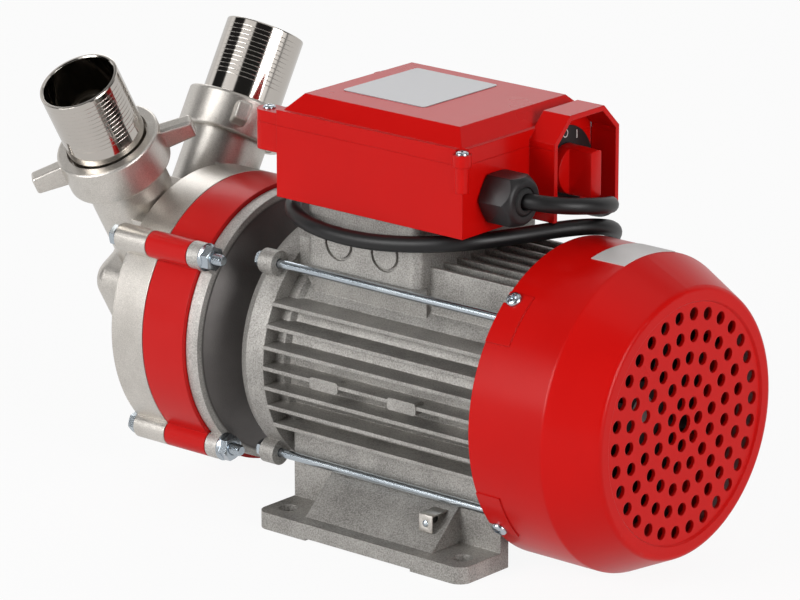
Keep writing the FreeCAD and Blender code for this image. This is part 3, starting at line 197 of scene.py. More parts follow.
class Board:  # one material's node tree
    def __init__(self, name):
        self.material = bpy.data.materials.new(name)
        self.material.use_nodes = True
        self.tree = self.material.node_tree
        self.tree.nodes.clear()

    def add(self, kind, settings=None, inputs=None, output=0):
        node = self.tree.nodes.new(kind)
        for key, value in (settings or {}).items():
            if key == "stops":
                while len(node.color_ramp.elements) < len(value):
                    node.color_ramp.elements.new(0.5)
                for element, (place, level) in zip(node.color_ramp.elements, value):
                    element.position = place
                    element.color = (level, level, level, 1)
            else:
                setattr(node, key, value)
        for key, value in (inputs or {}).items():
            if isinstance(value, Wire):
                self.tree.links.new(value.socket, node.inputs[key])
            else:
                node.inputs[key].default_value = value
        return Wire(self, node.outputs[output]) if len(node.outputs) else None

    def place(self):
        return self.add("ShaderNodeTexCoord", output="Object")

    def noise(self, scale, detail=2.0, roughness=0.5, stretch=None):
        place = self.place()
        if stretch:
            place = self.add("ShaderNodeMapping", {}, {"Vector": place, "Scale": stretch})
        return self.add("ShaderNodeTexNoise", {}, {"Vector": place, "Scale": scale, "Detail": detail,
                                                   "Roughness": roughness})

    def ramp(self, value, stops):
        return self.add("ShaderNodeValToRGB", {"stops": stops}, {"Fac": value})

    def tint(self, factor, first, second):
        return self.add("ShaderNodeMix", {"data_type": "RGBA"}, {0: factor, 6: first, 7: second}, output=2)

    def bump(self, height, strength, distance, normal=None):
        inputs = {"Height": height, "Strength": strength, "Distance": distance}
        if normal:
            inputs["Normal"] = normal
        return self.add("ShaderNodeBump", {}, inputs)

    def axis(self, source, letter):
        return self.add("ShaderNodeSeparateXYZ", {}, {0: source}, output=letter)

    def rimMask(self, radius, along):  # 1 outside a radius round the shaft and before a station on it
        place = self.place()
        across, up = self.axis(place, "Y"), self.axis(place, "Z") - shaftHeight
        reach = (across * across + up * up) ** 0.5
        sharpness = 300
        outside = self.ramp((reach - radius) * sharpness + 0.5, [(0.3, 0.0), (0.7, 1.0)])
        before = self.ramp((self.axis(place, "X") - along) * sharpness + 0.5, [(0.3, 1.0), (0.7, 0.0)])
        return outside * before

    def softEdge(self, radius):
        return self.add("ShaderNodeBevel", {"samples": 4}, {"Radius": radius})

    def finish(self, **sockets):
        surface = self.add("ShaderNodeBsdfPrincipled", {}, sockets)
        self.add("ShaderNodeOutputMaterial", {}, {"Surface": surface})
        return self.material


def shade(red, green, blue):  # an sRGB colour from 0 to 255 as a linear one
    def linear(level):
        level /= 255
        return level / 12.92 if level <= 0.04045 else ((level + 0.055) / 1.055) ** 2.4
    return (linear(red), linear(green), linear(blue), 1)


# Finishes

# the last share darkens the blotches of painted shade in the bracket's dish
castSettings = {"light": (192, 189, 184), "dark": (120, 117, 113), "grain": 1300, "blotch": 60,
                "share": 0.7, "roughness": 0.39, "spread": 0.22, "metallic": 0.62, "edge": 0.0006,
                "relief": 0.5, "grainDepth": 0.00025, "waves": 0.15, "waveDepth": 0.0006,
                "dishShadeShare": 0.8}


def castMetal(name, settings):
    board = Board(name)
    grain = board.noise(settings["grain"], 3, 0.6)
    blotch = board.noise(settings["blotch"], 4, 0.55)
    share = settings["share"]
    mixed = board.ramp(grain * share + blotch * (1 - share), [(0.34, 0.0), (0.66, 1.0)])
    colour = board.tint(mixed, shade(*settings["dark"]), shade(*settings["light"]))
    if "inner" in settings:  # painted shade: the dish inside the flange's rim is coloured darker, and darker still in blotches, for the shade that falls there
        inner, dishEdge = settings["inner"], settings["rim"]
        deeperShade = [level * settings["dishShadeShare"] for level in inner]
        shadedDish = board.tint(blotch, shade(*inner), shade(*deeperShade))
        colour = board.tint(board.rimMask(dishEdge[0], dishEdge[1]), shadedDish, colour)
    soft = board.softEdge(settings["edge"])
    normal = board.bump(grain, settings["relief"], settings["grainDepth"], soft)
    normal = board.bump(blotch, settings["waves"], settings["waveDepth"], normal)
    return board.finish(**{"Base Color": colour, "Metallic": settings["metallic"], "Normal": normal,
                           "Roughness": grain * settings["spread"] + settings["roughness"]})


plasticSettings = {"light": (204, 14, 9), "dark": (192, 8, 6), "roughness": 0.24, "spread": 0.10,
                   "edge": 0.0007, "cloud": 22, "fine": 900, "grain": 0.05, "grainDepth": 0.0001,
                   "waves": 0.10, "waveDepth": 0.0012, "coat": 0.04, "coatRoughness": 0.08,
                   "specular": 0.14}


def glossPlastic(name, settings):
    board = Board(name)
    cloud = board.noise(settings["cloud"], 3)
    fine = board.noise(settings["fine"])
    colour = board.tint(cloud, shade(*settings["dark"]), shade(*settings["light"]))
    normal = board.bump(fine, settings["grain"], settings["grainDepth"], board.softEdge(settings["edge"]))
    normal = board.bump(cloud, settings["waves"], settings["waveDepth"], normal)
    return board.finish(**{"Base Color": colour, "Normal": normal, "Coat Weight": settings["coat"],
                           "Roughness": cloud * settings["spread"] + settings["roughness"],
                           "Coat Roughness": settings["coatRoughness"],
                           "Specular IOR Level": settings["specular"]})


metalSettings = {"fine": 700, "film": 35, "spread": 0.06, "grain": 0.04, "grainDepth": 0.0001,
                 "edge": 0.0003}


def polishedMetal(name, light, dark, roughness, settings):
    board = Board(name)
    fine = board.noise(settings["fine"])
    film = board.noise(settings["film"], 3)
    colour = board.tint(film, shade(*dark), shade(*light))
    normal = board.bump(fine, settings["grain"], settings["grainDepth"], board.softEdge(settings["edge"]))
    return board.finish(**{"Base Color": colour, "Metallic": 1.0, "Normal": normal,
                           "Roughness": film * settings["spread"] + roughness})


blackSettings = {"fine": 1400, "scuff": 45, "spread": 0.18, "grain": 0.10, "grainDepth": 0.0002,
                 "edge": 0.0005, "specular": 0.4}


def dullBlack(name, light, dark, roughness, settings):
    board = Board(name)
    fine = board.noise(settings["fine"], 3)
    scuff = board.noise(settings["scuff"], 4)
    colour = board.tint(scuff, shade(*dark), shade(*light))
    normal = board.bump(fine, settings["grain"], settings["grainDepth"], board.softEdge(settings["edge"]))
    return board.finish(**{"Base Color": colour, "Normal": normal, "Specular IOR Level": settings["specular"],
                           "Roughness": scuff * settings["spread"] + roughness})


mattSettings = {"cloud": 80, "fine": 1200, "spread": 0.1, "grain": 0.08, "grainDepth": 0.0001}


def plainMatt(name, light, dark, roughness, settings):
    board = Board(name)
    cloud = board.noise(settings["cloud"], 3)
    fine = board.noise(settings["fine"])
    return board.finish(**{"Base Color": board.tint(cloud, shade(*dark), shade(*light)),
                           "Roughness": fine * settings["spread"] + roughness,
                           "Normal": board.bump(fine, settings["grain"], settings["grainDepth"])})


plateSettings = {"light": (176, 176, 178), "dark": (158, 158, 161), "lines": 60, "stretch": (1, 60, 1),
                 "metallic": 0.3, "roughness": 0.28, "spread": 0.15, "grain": 0.06, "grainDepth": 0.0001}


def brushedPlate(name, settings):
    board = Board(name)
    lines = board.noise(settings["lines"], 3, 0.6, settings["stretch"])
    colour = board.tint(lines, shade(*settings["dark"]), shade(*settings["light"]))
    return board.finish(**{"Base Color": colour, "Metallic": settings["metallic"],
                           "Roughness": lines * settings["spread"] + settings["roughness"],
                           "Normal": board.bump(lines, settings["grain"], settings["grainDepth"])})


finishes = {
    "cast_frame": castMetal("castFrame", castSettings),
    # the bracket's inner colour, inside the rim bounds, is painted shade for the shaded dish inside the
    # flange's rim
    "bracket_casting": castMetal("bracketCasting", {**castSettings, "light": (216, 213, 208),
                                                    "dark": (152, 149, 145), "inner": (112, 108, 106),
                                                    "rim": (0.0672, -0.1092)}),
    "nickel_casting": castMetal("nickelCasting", {**castSettings, "light": (224, 219, 212),
                                                  "dark": (190, 185, 178), "metallic": 0.92,
                                                  "roughness": 0.25, "relief": 0.16, "grain": 1700}),
    "red_casting": glossPlastic("ringPaint", {**plasticSettings, "light": (204, 34, 32),
                                              "dark": (194, 24, 23), "roughness": 0.26, "edge": 0.0012}),
    "polished_tube": polishedMetal("polishedTube", (206, 200, 193), (188, 182, 175), 0.05, metalSettings),
    "zinc_fastener": polishedMetal("zincPlate", (205, 212, 216), (170, 180, 190), 0.22,
                                   {**metalSettings, "grain": 0.12}),
    "red_plastic": glossPlastic("redPlastic", plasticSettings),
    "black_plastic": dullBlack("blackPlastic", (34, 31, 32), (22, 20, 21), 0.34,
                               {**blackSettings, "fine": 800, "grain": 0.08}),
    "plate_silver": brushedPlate("plateSilver", plateSettings),
    "label_white": plainMatt("labelFoil", (204, 201, 199), (192, 189, 187), 0.4, mattSettings),
    "cable_rubber": dullBlack("cableRubber", (20, 18, 19), (11, 10, 11), 0.34, blackSettings),
    "contact_brass": polishedMetal("contactBrass", (214, 184, 120), (196, 164, 100), 0.2, metalSettings),
    "ground_steel": polishedMetal("groundSteel", (200, 200, 198), (170, 170, 168), 0.25, metalSettings),
    "lamination_steel": castMetal("laminationSteel", {**castSettings, "light": (120, 120, 122),
                                                      "dark": (95, 95, 98)}),
    "copper_winding": plainMatt("copperWinding", (176, 104, 62), (140, 78, 44), 0.35, mattSettings),
    "impeller_brass": polishedMetal("impellerBrass", (206, 178, 118), (180, 150, 92), 0.3, metalSettings),
    "seal_rubber": dullBlack("sealRubber", (36, 35, 35), (22, 22, 22), 0.5, blackSettings),
    "seal_ceramic": plainMatt("sealCeramic", (224, 221, 212), (214, 210, 200), 0.3, mattSettings),
    "gasket_fibre": plainMatt("gasketFibre", (120, 116, 108), (96, 92, 86), 0.7, mattSettings),
    "capacitor_shell": plainMatt("capacitorShell", (222, 222, 216), (206, 206, 200), 0.4, mattSettings),
}
slotOf = {part["node"]: part["material_slot"] for part in frame["record"]["subparts"]}
for node, piece in frame["nodes"].items():
    piece.data.materials.clear()
    piece.data.materials.append(finishes[slotOf[node]])
print("finishes:", len(finishes))


# Camera, lamps and floor

cameraSettings = {"azimuth": 40.43, "elevation": 16.96, "place": (1.5067, -1.8114, 0.83224),
                  "lens": 223.95, "sensor": 36, "near": 0.1}


def addCamera(settings):
    camera = bpy.data.objects.new("camera", bpy.data.cameras.new("camera"))
    bpy.context.scene.collection.objects.link(camera)
    camera.location = settings["place"]
    camera.rotation_euler = (math.radians(90 - settings["elevation"]), 0, math.radians(settings["azimuth"]))
    camera.data.lens = settings["lens"]
    camera.data.sensor_width = settings["sensor"]
    camera.data.clip_start = settings["near"]
    bpy.context.scene.camera = camera


lampAim = (-0.03, 0, 0.1)
lampSettings = [
    {"name": "keyLamp", "place": (-0.8, -2.3, 1.0), "size": 1.3, "power": 40},
    {"name": "topLamp", "place": (0.3, 0.4, 2.4), "size": 1.6, "power": 5},
    {"name": "sideLamp", "place": (2.5, -0.3, 0.8), "size": 1.2, "power": 34},
    {"name": "backLamp", "place": (-1.6, 1.6, 1.6), "size": 1.2, "power": 10},
]


def addLamps(lamps, target):
    for lamp in lamps:
        light = bpy.data.lights.new(lamp["name"], "AREA")
        light.shape = "SQUARE"
        light.size = lamp["size"]
        light.energy = lamp["power"]
        holder = bpy.data.objects.new(lamp["name"], light)
        bpy.context.scene.collection.objects.link(holder)
        holder.location = lamp["place"]
        aim = Vector(target) - Vector(lamp["place"])
        holder.rotation_euler = aim.to_track_quat("-Z", "Y").to_euler()


worldSettings = {
    "low": 0.34, "middle": 0.29, "high": 0.22,
    "around": [(0.0, 1.0), (0.035, 1.0), (0.05, 0.02), (0.15, 0.02), (0.165, 1.1), (0.275, 1.1), (0.29, 0.02),
               (0.43, 0.02), (0.445, 1.2), (0.54, 1.2), (0.56, 0.06), (0.64, 0.06), (0.68, 0.85),
               (1.0, 0.85)],
}


def paintWorld(settings):
    # diffuse light by height alone; shiny faces see the screens and the camera sees white
    world = bpy.data.worlds.new("studio")
    bpy.context.scene.world = world
    world.use_nodes = True
    board = Board("worldBoard")
    spare = board.material
    board.tree = world.node_tree
    board.tree.nodes.clear()
    direction = board.add("ShaderNodeTexCoord", output="Generated")
    height = board.axis(direction, "Z")
    level = board.ramp(height * 0.5 + 0.5, [(0.0, settings["low"]), (0.47, settings["low"]),
                                            (0.53, settings["middle"]), (0.85, settings["high"])])
    turn = board.axis(direction, "Y").combine("ARCTAN2", board.axis(direction, "Y"),
                                              board.axis(direction, "X"))
    screens = board.ramp(turn * (0.5 / math.pi) + 0.5, settings["around"])
    over = board.ramp(height * 0.5 + 0.5, [(0.8, 0.0), (0.92, 1.0)])
    shiny = board.tint(over, screens, (settings["high"],) * 3 + (1,))
    room = board.add("ShaderNodeBackground", {}, {"Color": level, "Strength": 1.0})
    mirror = board.add("ShaderNodeBackground", {}, {"Color": shiny, "Strength": 1.0})
    white = board.add("ShaderNodeBackground", {}, {"Color": (1, 1, 1, 1), "Strength": 1.0})
    glossy = board.add("ShaderNodeLightPath", output="Is Glossy Ray")
    camera = board.add("ShaderNodeLightPath", output="Is Camera Ray")
    seen = board.add("ShaderNodeMixShader", {}, {0: glossy, 1: room, 2: mirror})
    mixed = board.add("ShaderNodeMixShader", {}, {0: camera, 1: seen, 2: white})
    board.add("ShaderNodeOutputWorld", {}, {"Surface": mixed})
    bpy.data.materials.remove(spare)


floorSettings = {"size": 9.0, "drop": 0.0002, "colour": (0.86, 0.86, 0.86, 1), "lift": 0.92,
                 "mirror": 0.85, "mirrorShare": 0.75}


def layFloor(settings):
    clearSelection()
    bpy.ops.mesh.primitive_plane_add(size=settings["size"], location=(0, 0, -settings["drop"]))
    floor = namePiece("studioFloor")
    board = Board("floorPaper")
    matt = board.add("ShaderNodeBsdfDiffuse", {}, {"Color": settings["colour"]})
    white = board.add("ShaderNodeEmission", {}, {"Color": (1, 1, 1, 1), "Strength": 1.0})
    mirror = board.add("ShaderNodeEmission", {}, {"Color": (1, 1, 1, 1), "Strength": settings["mirror"]})
    camera = board.add("ShaderNodeLightPath", output="Is Camera Ray")
    glossy = board.add("ShaderNodeLightPath", output="Is Glossy Ray")
    seen = board.add("ShaderNodeMixShader", {}, {0: camera * settings["lift"], 1: matt, 2: white})
    mixed = board.add("ShaderNodeMixShader", {}, {0: glossy * settings["mirrorShare"], 1: seen,
                                                2: mirror})
    board.add("ShaderNodeOutputMaterial", {}, {"Surface": mixed})
    floor.data.materials.append(board.material)


addCamera(cameraSettings)
addLamps(lampSettings, lampAim)
paintWorld(worldSettings)
layFloor(floorSettings)
print("camera, lamps and floor ready")


# Cable with its coil and plug

cableSettings = {
    "radius": 0.0041,
    "exit": (0.048, -0.0263, 0.182),
    "lead": [
        (0.0480, -0.0263, 0.1820), (0.0650, -0.0263, 0.1820), (0.0794, -0.0173, 0.1803),
        (0.0869, -0.0020, 0.1784), (0.0848, 0.0149, 0.1750), (0.0739, 0.0279, 0.1708),
        (0.0595, 0.0395, 0.1624), (0.0350, 0.0540, 0.1578), (0.0070, 0.0590, 0.1565),
        (-0.0230, 0.0600, 0.1565), (-0.0510, 0.0555, 0.1575), (-0.0735, 0.0395, 0.1590),
        (-0.0845, 0.0135, 0.1596), (-0.0840, -0.0170, 0.1592), (-0.0715, -0.0445, 0.1578),
        (-0.0450, -0.0575, 0.1556), (-0.0140, -0.0580, 0.1545), (0.0150, -0.0535, 0.1568),
        (0.0400, -0.0425, 0.1600), (0.0520, -0.0165, 0.1601), (0.0593, 0.0045, 0.1601),
        (0.0660, 0.0190, 0.1598), (0.0678, 0.0335, 0.1568), (0.0625, 0.0470, 0.1510),
        (0.0515, 0.0585, 0.1430), (0.0415, 0.0685, 0.1295), (0.0345, 0.0760, 0.1105),
        (0.0315, 0.0810, 0.0880), (0.0310, 0.0840, 0.0645), (0.0320, 0.0880, 0.0415),
        (0.0332, 0.0955, 0.0220), (0.0325, 0.1095, 0.0090), (0.0295, 0.1260, 0.0046),
        (0.0282, 0.1420, 0.0043),
    ],
    "tail": [(-0.0220, 0.1922, 0.0126), (-0.0460, 0.1905, 0.0140), (-0.0690, 0.1820, 0.0180),
             (-0.0900, 0.1690, 0.0186)],
    "coilCentre": (-0.022, 0.142), "outer": 0.0502, "inner": 0.0418, "low": 0.0042, "high": 0.0126,
    "perTurn": 16, "turns": 3.25, "length": 1.76,
    "widen": 1.019,  # control points stand a little outside the line that they draw
    "inwards": (285, 350), "upwards": (590, 645), "outwards": (890, 945),  # turns in degrees
}


def easeBetween(angle, start, end):
    share = min(1, max(0, (angle - start) / (end - start)))
    return share * share * (3 - 2 * share)


def coilPoints(settings):
    # outer low turn, inner low turn, inner high turn, then the outer high one
    points = []
    step = 360 / settings["perTurn"]
    for count in range(1, int(settings["turns"] * settings["perTurn"])):
        angle = count * step
        inwards = easeBetween(angle, *settings["inwards"]) - easeBetween(angle, *settings["outwards"])
        upwards = easeBetween(angle, *settings["upwards"])
        radius = settings["outer"] + (settings["inner"] - settings["outer"]) * inwards
        height = settings["low"] + (settings["high"] - settings["low"]) * upwards
        turn, reach = math.radians(angle), radius * settings["widen"]
        points.append((settings["coilCentre"][0] + reach * math.cos(turn),
                       settings["coilCentre"][1] + reach * math.sin(turn), height))
    return points


def makeCable(settings):
    points = settings["lead"] + coilPoints(settings) + settings["tail"]
    curve = bpy.data.curves.new("mainsCable", "CURVE")
    curve.dimensions = "3D"
    curve.bevel_depth = settings["radius"]
    curve.bevel_resolution = 6
    curve.use_fill_caps = True
    spline = curve.splines.new("NURBS")
    spline.points.add(len(points) - 1)
    for point, place in zip(spline.points, points):
        point.co = (*place, 1)
    spline.order_u = 3
    spline.use_endpoint_u = True
    spline.resolution_u = 6
    cable = bpy.data.objects.new("mainsCable", curve)
    bpy.context.scene.collection.objects.link(cable)
    return cable


plugSettings = {
    "mouth": [(0, 0), (5.4, 0), (6.2, 0.7)], "ridges": 6, "ridgeStart": 1.5, "ridgePitch": 3.9,
    "ridgeRadius": 6.3, "ridgeGrowth": 0.55, "ridge": [(0, 0), (0.1, 2.2), (-0.9, 2.7), (-0.8, 3.5)],
    "shoulder": [(9.9, 25.2), (12.5, 27.0), (15.8, 30.0), (17.6, 33.5), (18.1, 37.0)],
    "radius": 18.1, "grooves": 2, "grooveStart": 41.0, "groovePitch": 5.0,
    "groove": [(0, 0), (-0.8, 0.6), (-0.8, 2.0), (0, 2.6)], "face": [(18.1, 54.6), (17.0, 56.0), (0, 56.0)],
    "steps": 56, "smooth": 38,
}


def shifted(points, radius, height):
    return [(radius + point[0], height + point[1]) for point in points]


def makePlug(settings, before, end):
    profile = list(settings["mouth"])
    for ridge in range(settings["ridges"]):
        profile += shifted(settings["ridge"], settings["ridgeRadius"] + settings["ridgeGrowth"] * ridge,
                           settings["ridgeStart"] + settings["ridgePitch"] * ridge)
    profile += settings["shoulder"]
    for groove in range(settings["grooves"]):
        profile += shifted(settings["groove"], settings["radius"],
                           settings["grooveStart"] + settings["groovePitch"] * groove)
    plug = turnedPiece("mainsPlug", profile + settings["face"], settings["steps"])
    standAlong(plug, end, Vector(end) - Vector(before))
    smoothByAngle(plug, settings["smooth"])
    return plug


cable = makeCable(cableSettings)
dress(cable, finishes["cable_rubber"], "cable_rubber", "pump_frame", "cord_lead", "cord_coil", "cord_tail")
plug = makePlug(plugSettings, *cableSettings["tail"][-2:])
dress(plug, finishes["cable_rubber"], "cable_rubber", "pump_frame", "plug")
print("cable and plug ready")


# Screws, bolts and nuts

boltSettings = {
    "places": ((0.0795, 38.0), (0.0738, -46.6)),  # reach from the shaft and angle above level
    "flats": 10.0, "headHeight": 4.0, "length": 70.0, "radius": 3.0, "threadStart": 56, "pitch": 1.0,
    "threadDepth": 0.45, "tip": 1.0, "tipStep": 0.1, "tipRadius": 2.2, "sink": 0.2,
    "washerHole": 3.2, "washerRadius": 6.4, "washerHeight": 1.4, "washerChamfer": 0.25,
    "nutFlats": 11.4, "nutHeight": 6.0, "nutHole": 3.05, "nutFlange": (7.1, 1.2),
}
hexSettings = {"faceShare": 0.485, "slopeShare": 0.6, "margin": 0.1}
nutSettings = {"flangeDraft": 0.1, "flangeRise": 0.3, "mouthStart": 0.4, "mouthWiden": 0.7,
               "mouthOver": 0.3}
copySettings = {"firstRoll": 8, "rollStep": 17, "smooth": 32}


def hexBlock(name, flats, low, high, settings=hexSettings):
    # a six-sided block with its corners turned off at both ends, in millimetres
    clearSelection()
    corner = flats / math.sqrt(3)
    bpy.ops.mesh.primitive_cylinder_add(vertices=6, radius=corner * mm, depth=(high - low) * mm,
                                        location=(0, 0, (low + high) / 2 * mm))
    block = settle(namePiece(name))
    face, wide = flats * settings["faceShare"], corner + settings["margin"]
    slope = (corner - face) * settings["slopeShare"]
    barrel = turnedPiece("cutter", [(0, low), (face, low), (wide, low + slope), (wide, high - slope),
                                    (face, high), (0, high)])
    return carve(block, barrel, "INTERSECT")


def joinPieces(pieces, name):
    makeActive(pieces[0])
    for piece in pieces[1:]:
        piece.select_set(True)
    bpy.ops.object.join()
    return namePiece(name)


def threadProfile(low, high, radius, pitch, depth):
    points = []
    for turn in range(int((high - low) / pitch)):
        points += [(radius, low + turn * pitch), (radius - depth, low + (turn + 0.5) * pitch)]
    return points


def makeBolt(settings):
    head = hexBlock("boltHead", settings["flats"], -settings["headHeight"], 0)
    radius, length = settings["radius"], settings["length"]
    threadEnd = length - settings["tip"]
    profile = [(0, -settings["sink"]), (radius, -settings["sink"])]
    profile += threadProfile(settings["threadStart"], threadEnd, radius, settings["pitch"],
                             settings["threadDepth"])
    profile += [(radius - settings["tipStep"], threadEnd), (settings["tipRadius"], length), (0, length)]
    shank = turnedPiece("boltShank", profile, 24)
    return joinPieces([head, shank], "boltMaster")


def makeRing(name, inner, outer, height, chamfer):
    return turnedPiece(name, [(inner, 0), (outer, 0), (outer, height - chamfer), (outer - chamfer, height),
                              (inner, height), (inner, 0)], 40)


def makeNut(name, flats, height, hole, flange=None, settings=nutSettings):
    nut = hexBlock(name, flats, 0, height)
    if flange:
        radius, rise = flange
        top = rise + settings["flangeRise"]
        foot = turnedPiece("nutFoot", [(0, 0), (radius, 0), (radius + settings["flangeDraft"], rise / 2),
                                       (flats / 2, top), (0, top)], 40)
        nut = carve(nut, foot, "UNION")
    mouth, end = hole + settings["mouthWiden"], height + pastCut
    bore = turnedPiece("cutter", [(0, -pastCut), (hole, -pastCut), (hole, height - settings["mouthStart"]),
                                  (mouth, height + settings["mouthOver"]), (mouth, end), (0, end)], 32)
    return carve(nut, bore)


def spreadCopies(master, places, directions, names, node, settings=copySettings):
    # one copy of the master per place, each rolled a little further, in the fasteners' zinc
    for count, (place, direction) in enumerate(zip(places, directions)):
        piece = copyPiece(master, names + str(count + 1))
        standAlong(piece, place, direction,
                   math.radians(settings["rollStep"] * count + settings["firstRoll"]))
        smoothByAngle(piece, settings["smooth"])
        dress(piece, finishes["zinc_fastener"], "zinc_fastener", "pump_frame", node)
    bpy.data.objects.remove(master, do_unlink=True)


def boltPlaces(settings, along):
    return [(along, side * reach * math.cos(math.radians(angle)),
             shaftHeight + reach * math.sin(math.radians(angle)))
            for reach, angle in settings["places"] for side in (-1, 1)]


toMotor, toPump = (1, 0, 0), (-1, 0, 0)
boltSeat = nodeBox("pump_bolts")[0].x + boltSettings["headHeight"] * mm
spreadCopies(makeBolt(boltSettings), boltPlaces(boltSettings, boltSeat), [toMotor] * 4,
             "pumpBolt", "pump_bolts")
washer = makeRing("washerMaster", boltSettings["washerHole"], boltSettings["washerRadius"],
                  boltSettings["washerHeight"], boltSettings["washerChamfer"])
spreadCopies(washer, boltPlaces(boltSettings, nodeBox("bolt_washers")[1].x), [toPump] * 4,
             "boltWasher", "bolt_washers")
pumpNut = makeNut("pumpNutMaster", boltSettings["nutFlats"], boltSettings["nutHeight"],
                  boltSettings["nutHole"], boltSettings["nutFlange"])
spreadCopies(pumpNut, boltPlaces(boltSettings, nodeBox("pump_nuts")[0].x), [toMotor] * 4,
             "pumpNut", "pump_nuts")

rodSettings = {"spreadY": 0.0488, "spreadZ": 0.0495, "flats": 8.0, "height": 4.0, "hole": 2.25}


def rodPlaces(settings, along):
    return [(along, side * settings["spreadY"], shaftHeight + rise * settings["spreadZ"])
            for side in (-1, 1) for rise in (-1, 1)]


rodNut = makeNut("rodNutMaster", rodSettings["flats"], rodSettings["height"], rodSettings["hole"])
rodEnds = nodeBox("tie_rod_nuts")
frontSeat = rodEnds[0].x + rodSettings["height"] * mm
rearSeat = rodEnds[1].x - rodSettings["height"] * mm
spreadCopies(rodNut, rodPlaces(rodSettings, frontSeat) + rodPlaces(rodSettings, rearSeat),
             [toPump] * 4 + [toMotor] * 4, "rodNut", "tie_rod_nuts")

coverScrewSettings = {"along": 0.0786, "reach": 0.0798, "angles": (40, 130, 220, 310),
                      "radius": 4.0, "height": 2.4, "shank": 1.9, "depth": 9.0}
lidScrewSettings = {"places": ((-0.0837, 0.0440), (0.0447, 0.0496)),
                    "radius": 3.2, "height": 1.6, "shank": 1.9, "depth": 17.5}
# a head's dome and its cross recess, as shares of the head's radius and height
screwHead = {"dome": [(1, 0.3), (0.93, 0.6), (0.75, 0.84), (0.45, 0.97), (0, 1)],
             "crossLength": 1.15, "crossWidth": 0.28, "crossDepth": 1.1}


def makeScrew(settings, name, head=screwHead):
    radius, height, depth = settings["radius"], settings["height"], settings["depth"]
    profile = [(0, -depth), (settings["shank"], -depth), (settings["shank"], 0), (radius, 0)]
    profile += [(radius * out, height * up) for out, up in head["dome"]]
    screw = turnedPiece(name, profile, 40)
    for turn in (0, 90):  # the two arms of the cross recess
        clearSelection()
        bpy.ops.mesh.primitive_cube_add(size=1, location=(0, 0, height * mm),
                                        scale=(radius * head["crossLength"] * mm,
                                               radius * head["crossWidth"] * mm,
                                               height * head["crossDepth"] * mm),
                                        rotation=(0, 0, math.radians(turn)))
        carve(screw, settle(namePiece("cutter")))
    return screw


coverWays = [Vector((0, -math.sin(math.radians(angle)), math.cos(math.radians(angle))))
             for angle in coverScrewSettings["angles"]]
coverPlaces = [Vector((coverScrewSettings["along"], 0, shaftHeight)) + way * coverScrewSettings["reach"]
               for way in coverWays]
spreadCopies(makeScrew(coverScrewSettings, "coverScrewMaster"), coverPlaces, coverWays,
             "coverScrew", "cover_screws")
lidSeat = nodeBox("lid_screws")[1].z - lidScrewSettings["height"] * mm
lidPlaces = [(along, side * across, lidSeat)
             for along, across in lidScrewSettings["places"] for side in (-1, 1)]
spreadCopies(makeScrew(lidScrewSettings, "lidScrewMaster"), lidPlaces, [(0, 0, 1)] * 4,
             "lidScrew", "lid_screws")
print("screws, bolts and nuts ready")


# Switch knob

knobSettings = {"base": (0.0472, 0.0265, 0.1845), "radius": 12.5, "baseHeight": 5.6, "draft": 0.3,
                "reach": 19.0, "barWidth": 9.0, "barLength": 27.5, "barDraft": 0.6, "taper": (0.86, 0.96, 1),
                "stemRadius": 4.0, "stemLength": 6.0, "round": 0.0005}


def makeKnob(settings):
    radius, height, reach = settings["radius"], settings["baseHeight"], settings["reach"]
    stem, depth = settings["stemRadius"], settings["stemLength"]
    base = turnedPiece("switchKnob", [(0, -depth), (stem, -depth), (stem, 0), (radius, 0),
                                      (radius - settings["draft"], height), (0, height)], 64)
    clearSelection()
    bpy.ops.mesh.primitive_cube_add(size=1, location=(0, 0, reach / 2 * mm),
                                    scale=(settings["barWidth"] * mm, settings["barLength"] * mm, reach * mm))
    bar = settle(namePiece("knobBar"))
    chooseFaces(bar, lambda face: face.normal.z > 0.9)
    bpy.ops.transform.resize(value=settings["taper"])
    bpy.ops.object.mode_set(mode="OBJECT")
    top = reach + pastCut
    barrel = turnedPiece("cutter", [(0, -pastCut), (radius, -pastCut), (radius - settings["barDraft"], top),
                                    (0, top)], 64)
    bar = carve(bar, barrel, "INTERSECT")
    knob = carve(base, bar, "UNION")
    roundEdges(knob, settings["round"], 2, 35)
    standAlong(knob, settings["base"], toMotor)
    smoothByAngle(knob, 30)
    return dress(knob, finishes["red_plastic"], "red_plastic", "switch_knob", "switch_knob")


makeKnob(knobSettings)
print("knob ready")


# Hose tails, polished tubes with fine turned grooves

tailSettings = {"origin": (-0.189, 0, 0.0855), "tilt": 30, "start": 94.0, "collar": 3.0, "collarRadius": 23.4,
                "relief": 5.0, "reliefDepth": 0.5, "radius": 20.9, "bore": 18.9, "length": 47.2,
                "plain": 9.0, "grooves": 12, "pitch": 2.4, "groove": 0.08, "grooveHalf": 0.14,
                "lip": [(0, -0.7), (-0.25, -0.15), (-0.7, 0)], "mouth": 0.5}


def makeTail(settings, name, side, body, node):
    start, radius, bore = settings["start"], settings["radius"], settings["bore"]
    neck, end = start + settings["collar"], start + settings["length"]
    plain, waist = neck + settings["relief"], radius - settings["reliefDepth"]
    half, mouth = settings["grooveHalf"], settings["mouth"]
    profile = [(bore, start), (settings["collarRadius"], start), (settings["collarRadius"], neck),
               (waist, neck), (waist, plain), (radius, plain)]
    for groove in range(settings["grooves"]):
        height = plain + settings["plain"] + groove * settings["pitch"]
        profile += shifted([(0, -half), (-settings["groove"], 0), (0, half)], radius, height)
    profile += shifted(settings["lip"], radius, end)
    profile += [(bore + mouth, end), (bore, end - mouth), (bore, start)]
    tail = turnedPiece(name, profile, 96)
    tilt = math.radians(side * settings["tilt"])
    standAlong(tail, settings["origin"], (0, math.sin(tilt), math.cos(tilt)))
    smoothByAngle(tail, 20)
    return dress(tail, finishes["polished_tube"], "polished_tube", body, node)


makeTail(tailSettings, "leftTail", -1, "left_union", "left_hose_tail")
makeTail(tailSettings, "rightTail", 1, "right_union", "right_hose_tail")
print("hose tails ready")


# Cable gland with its seal

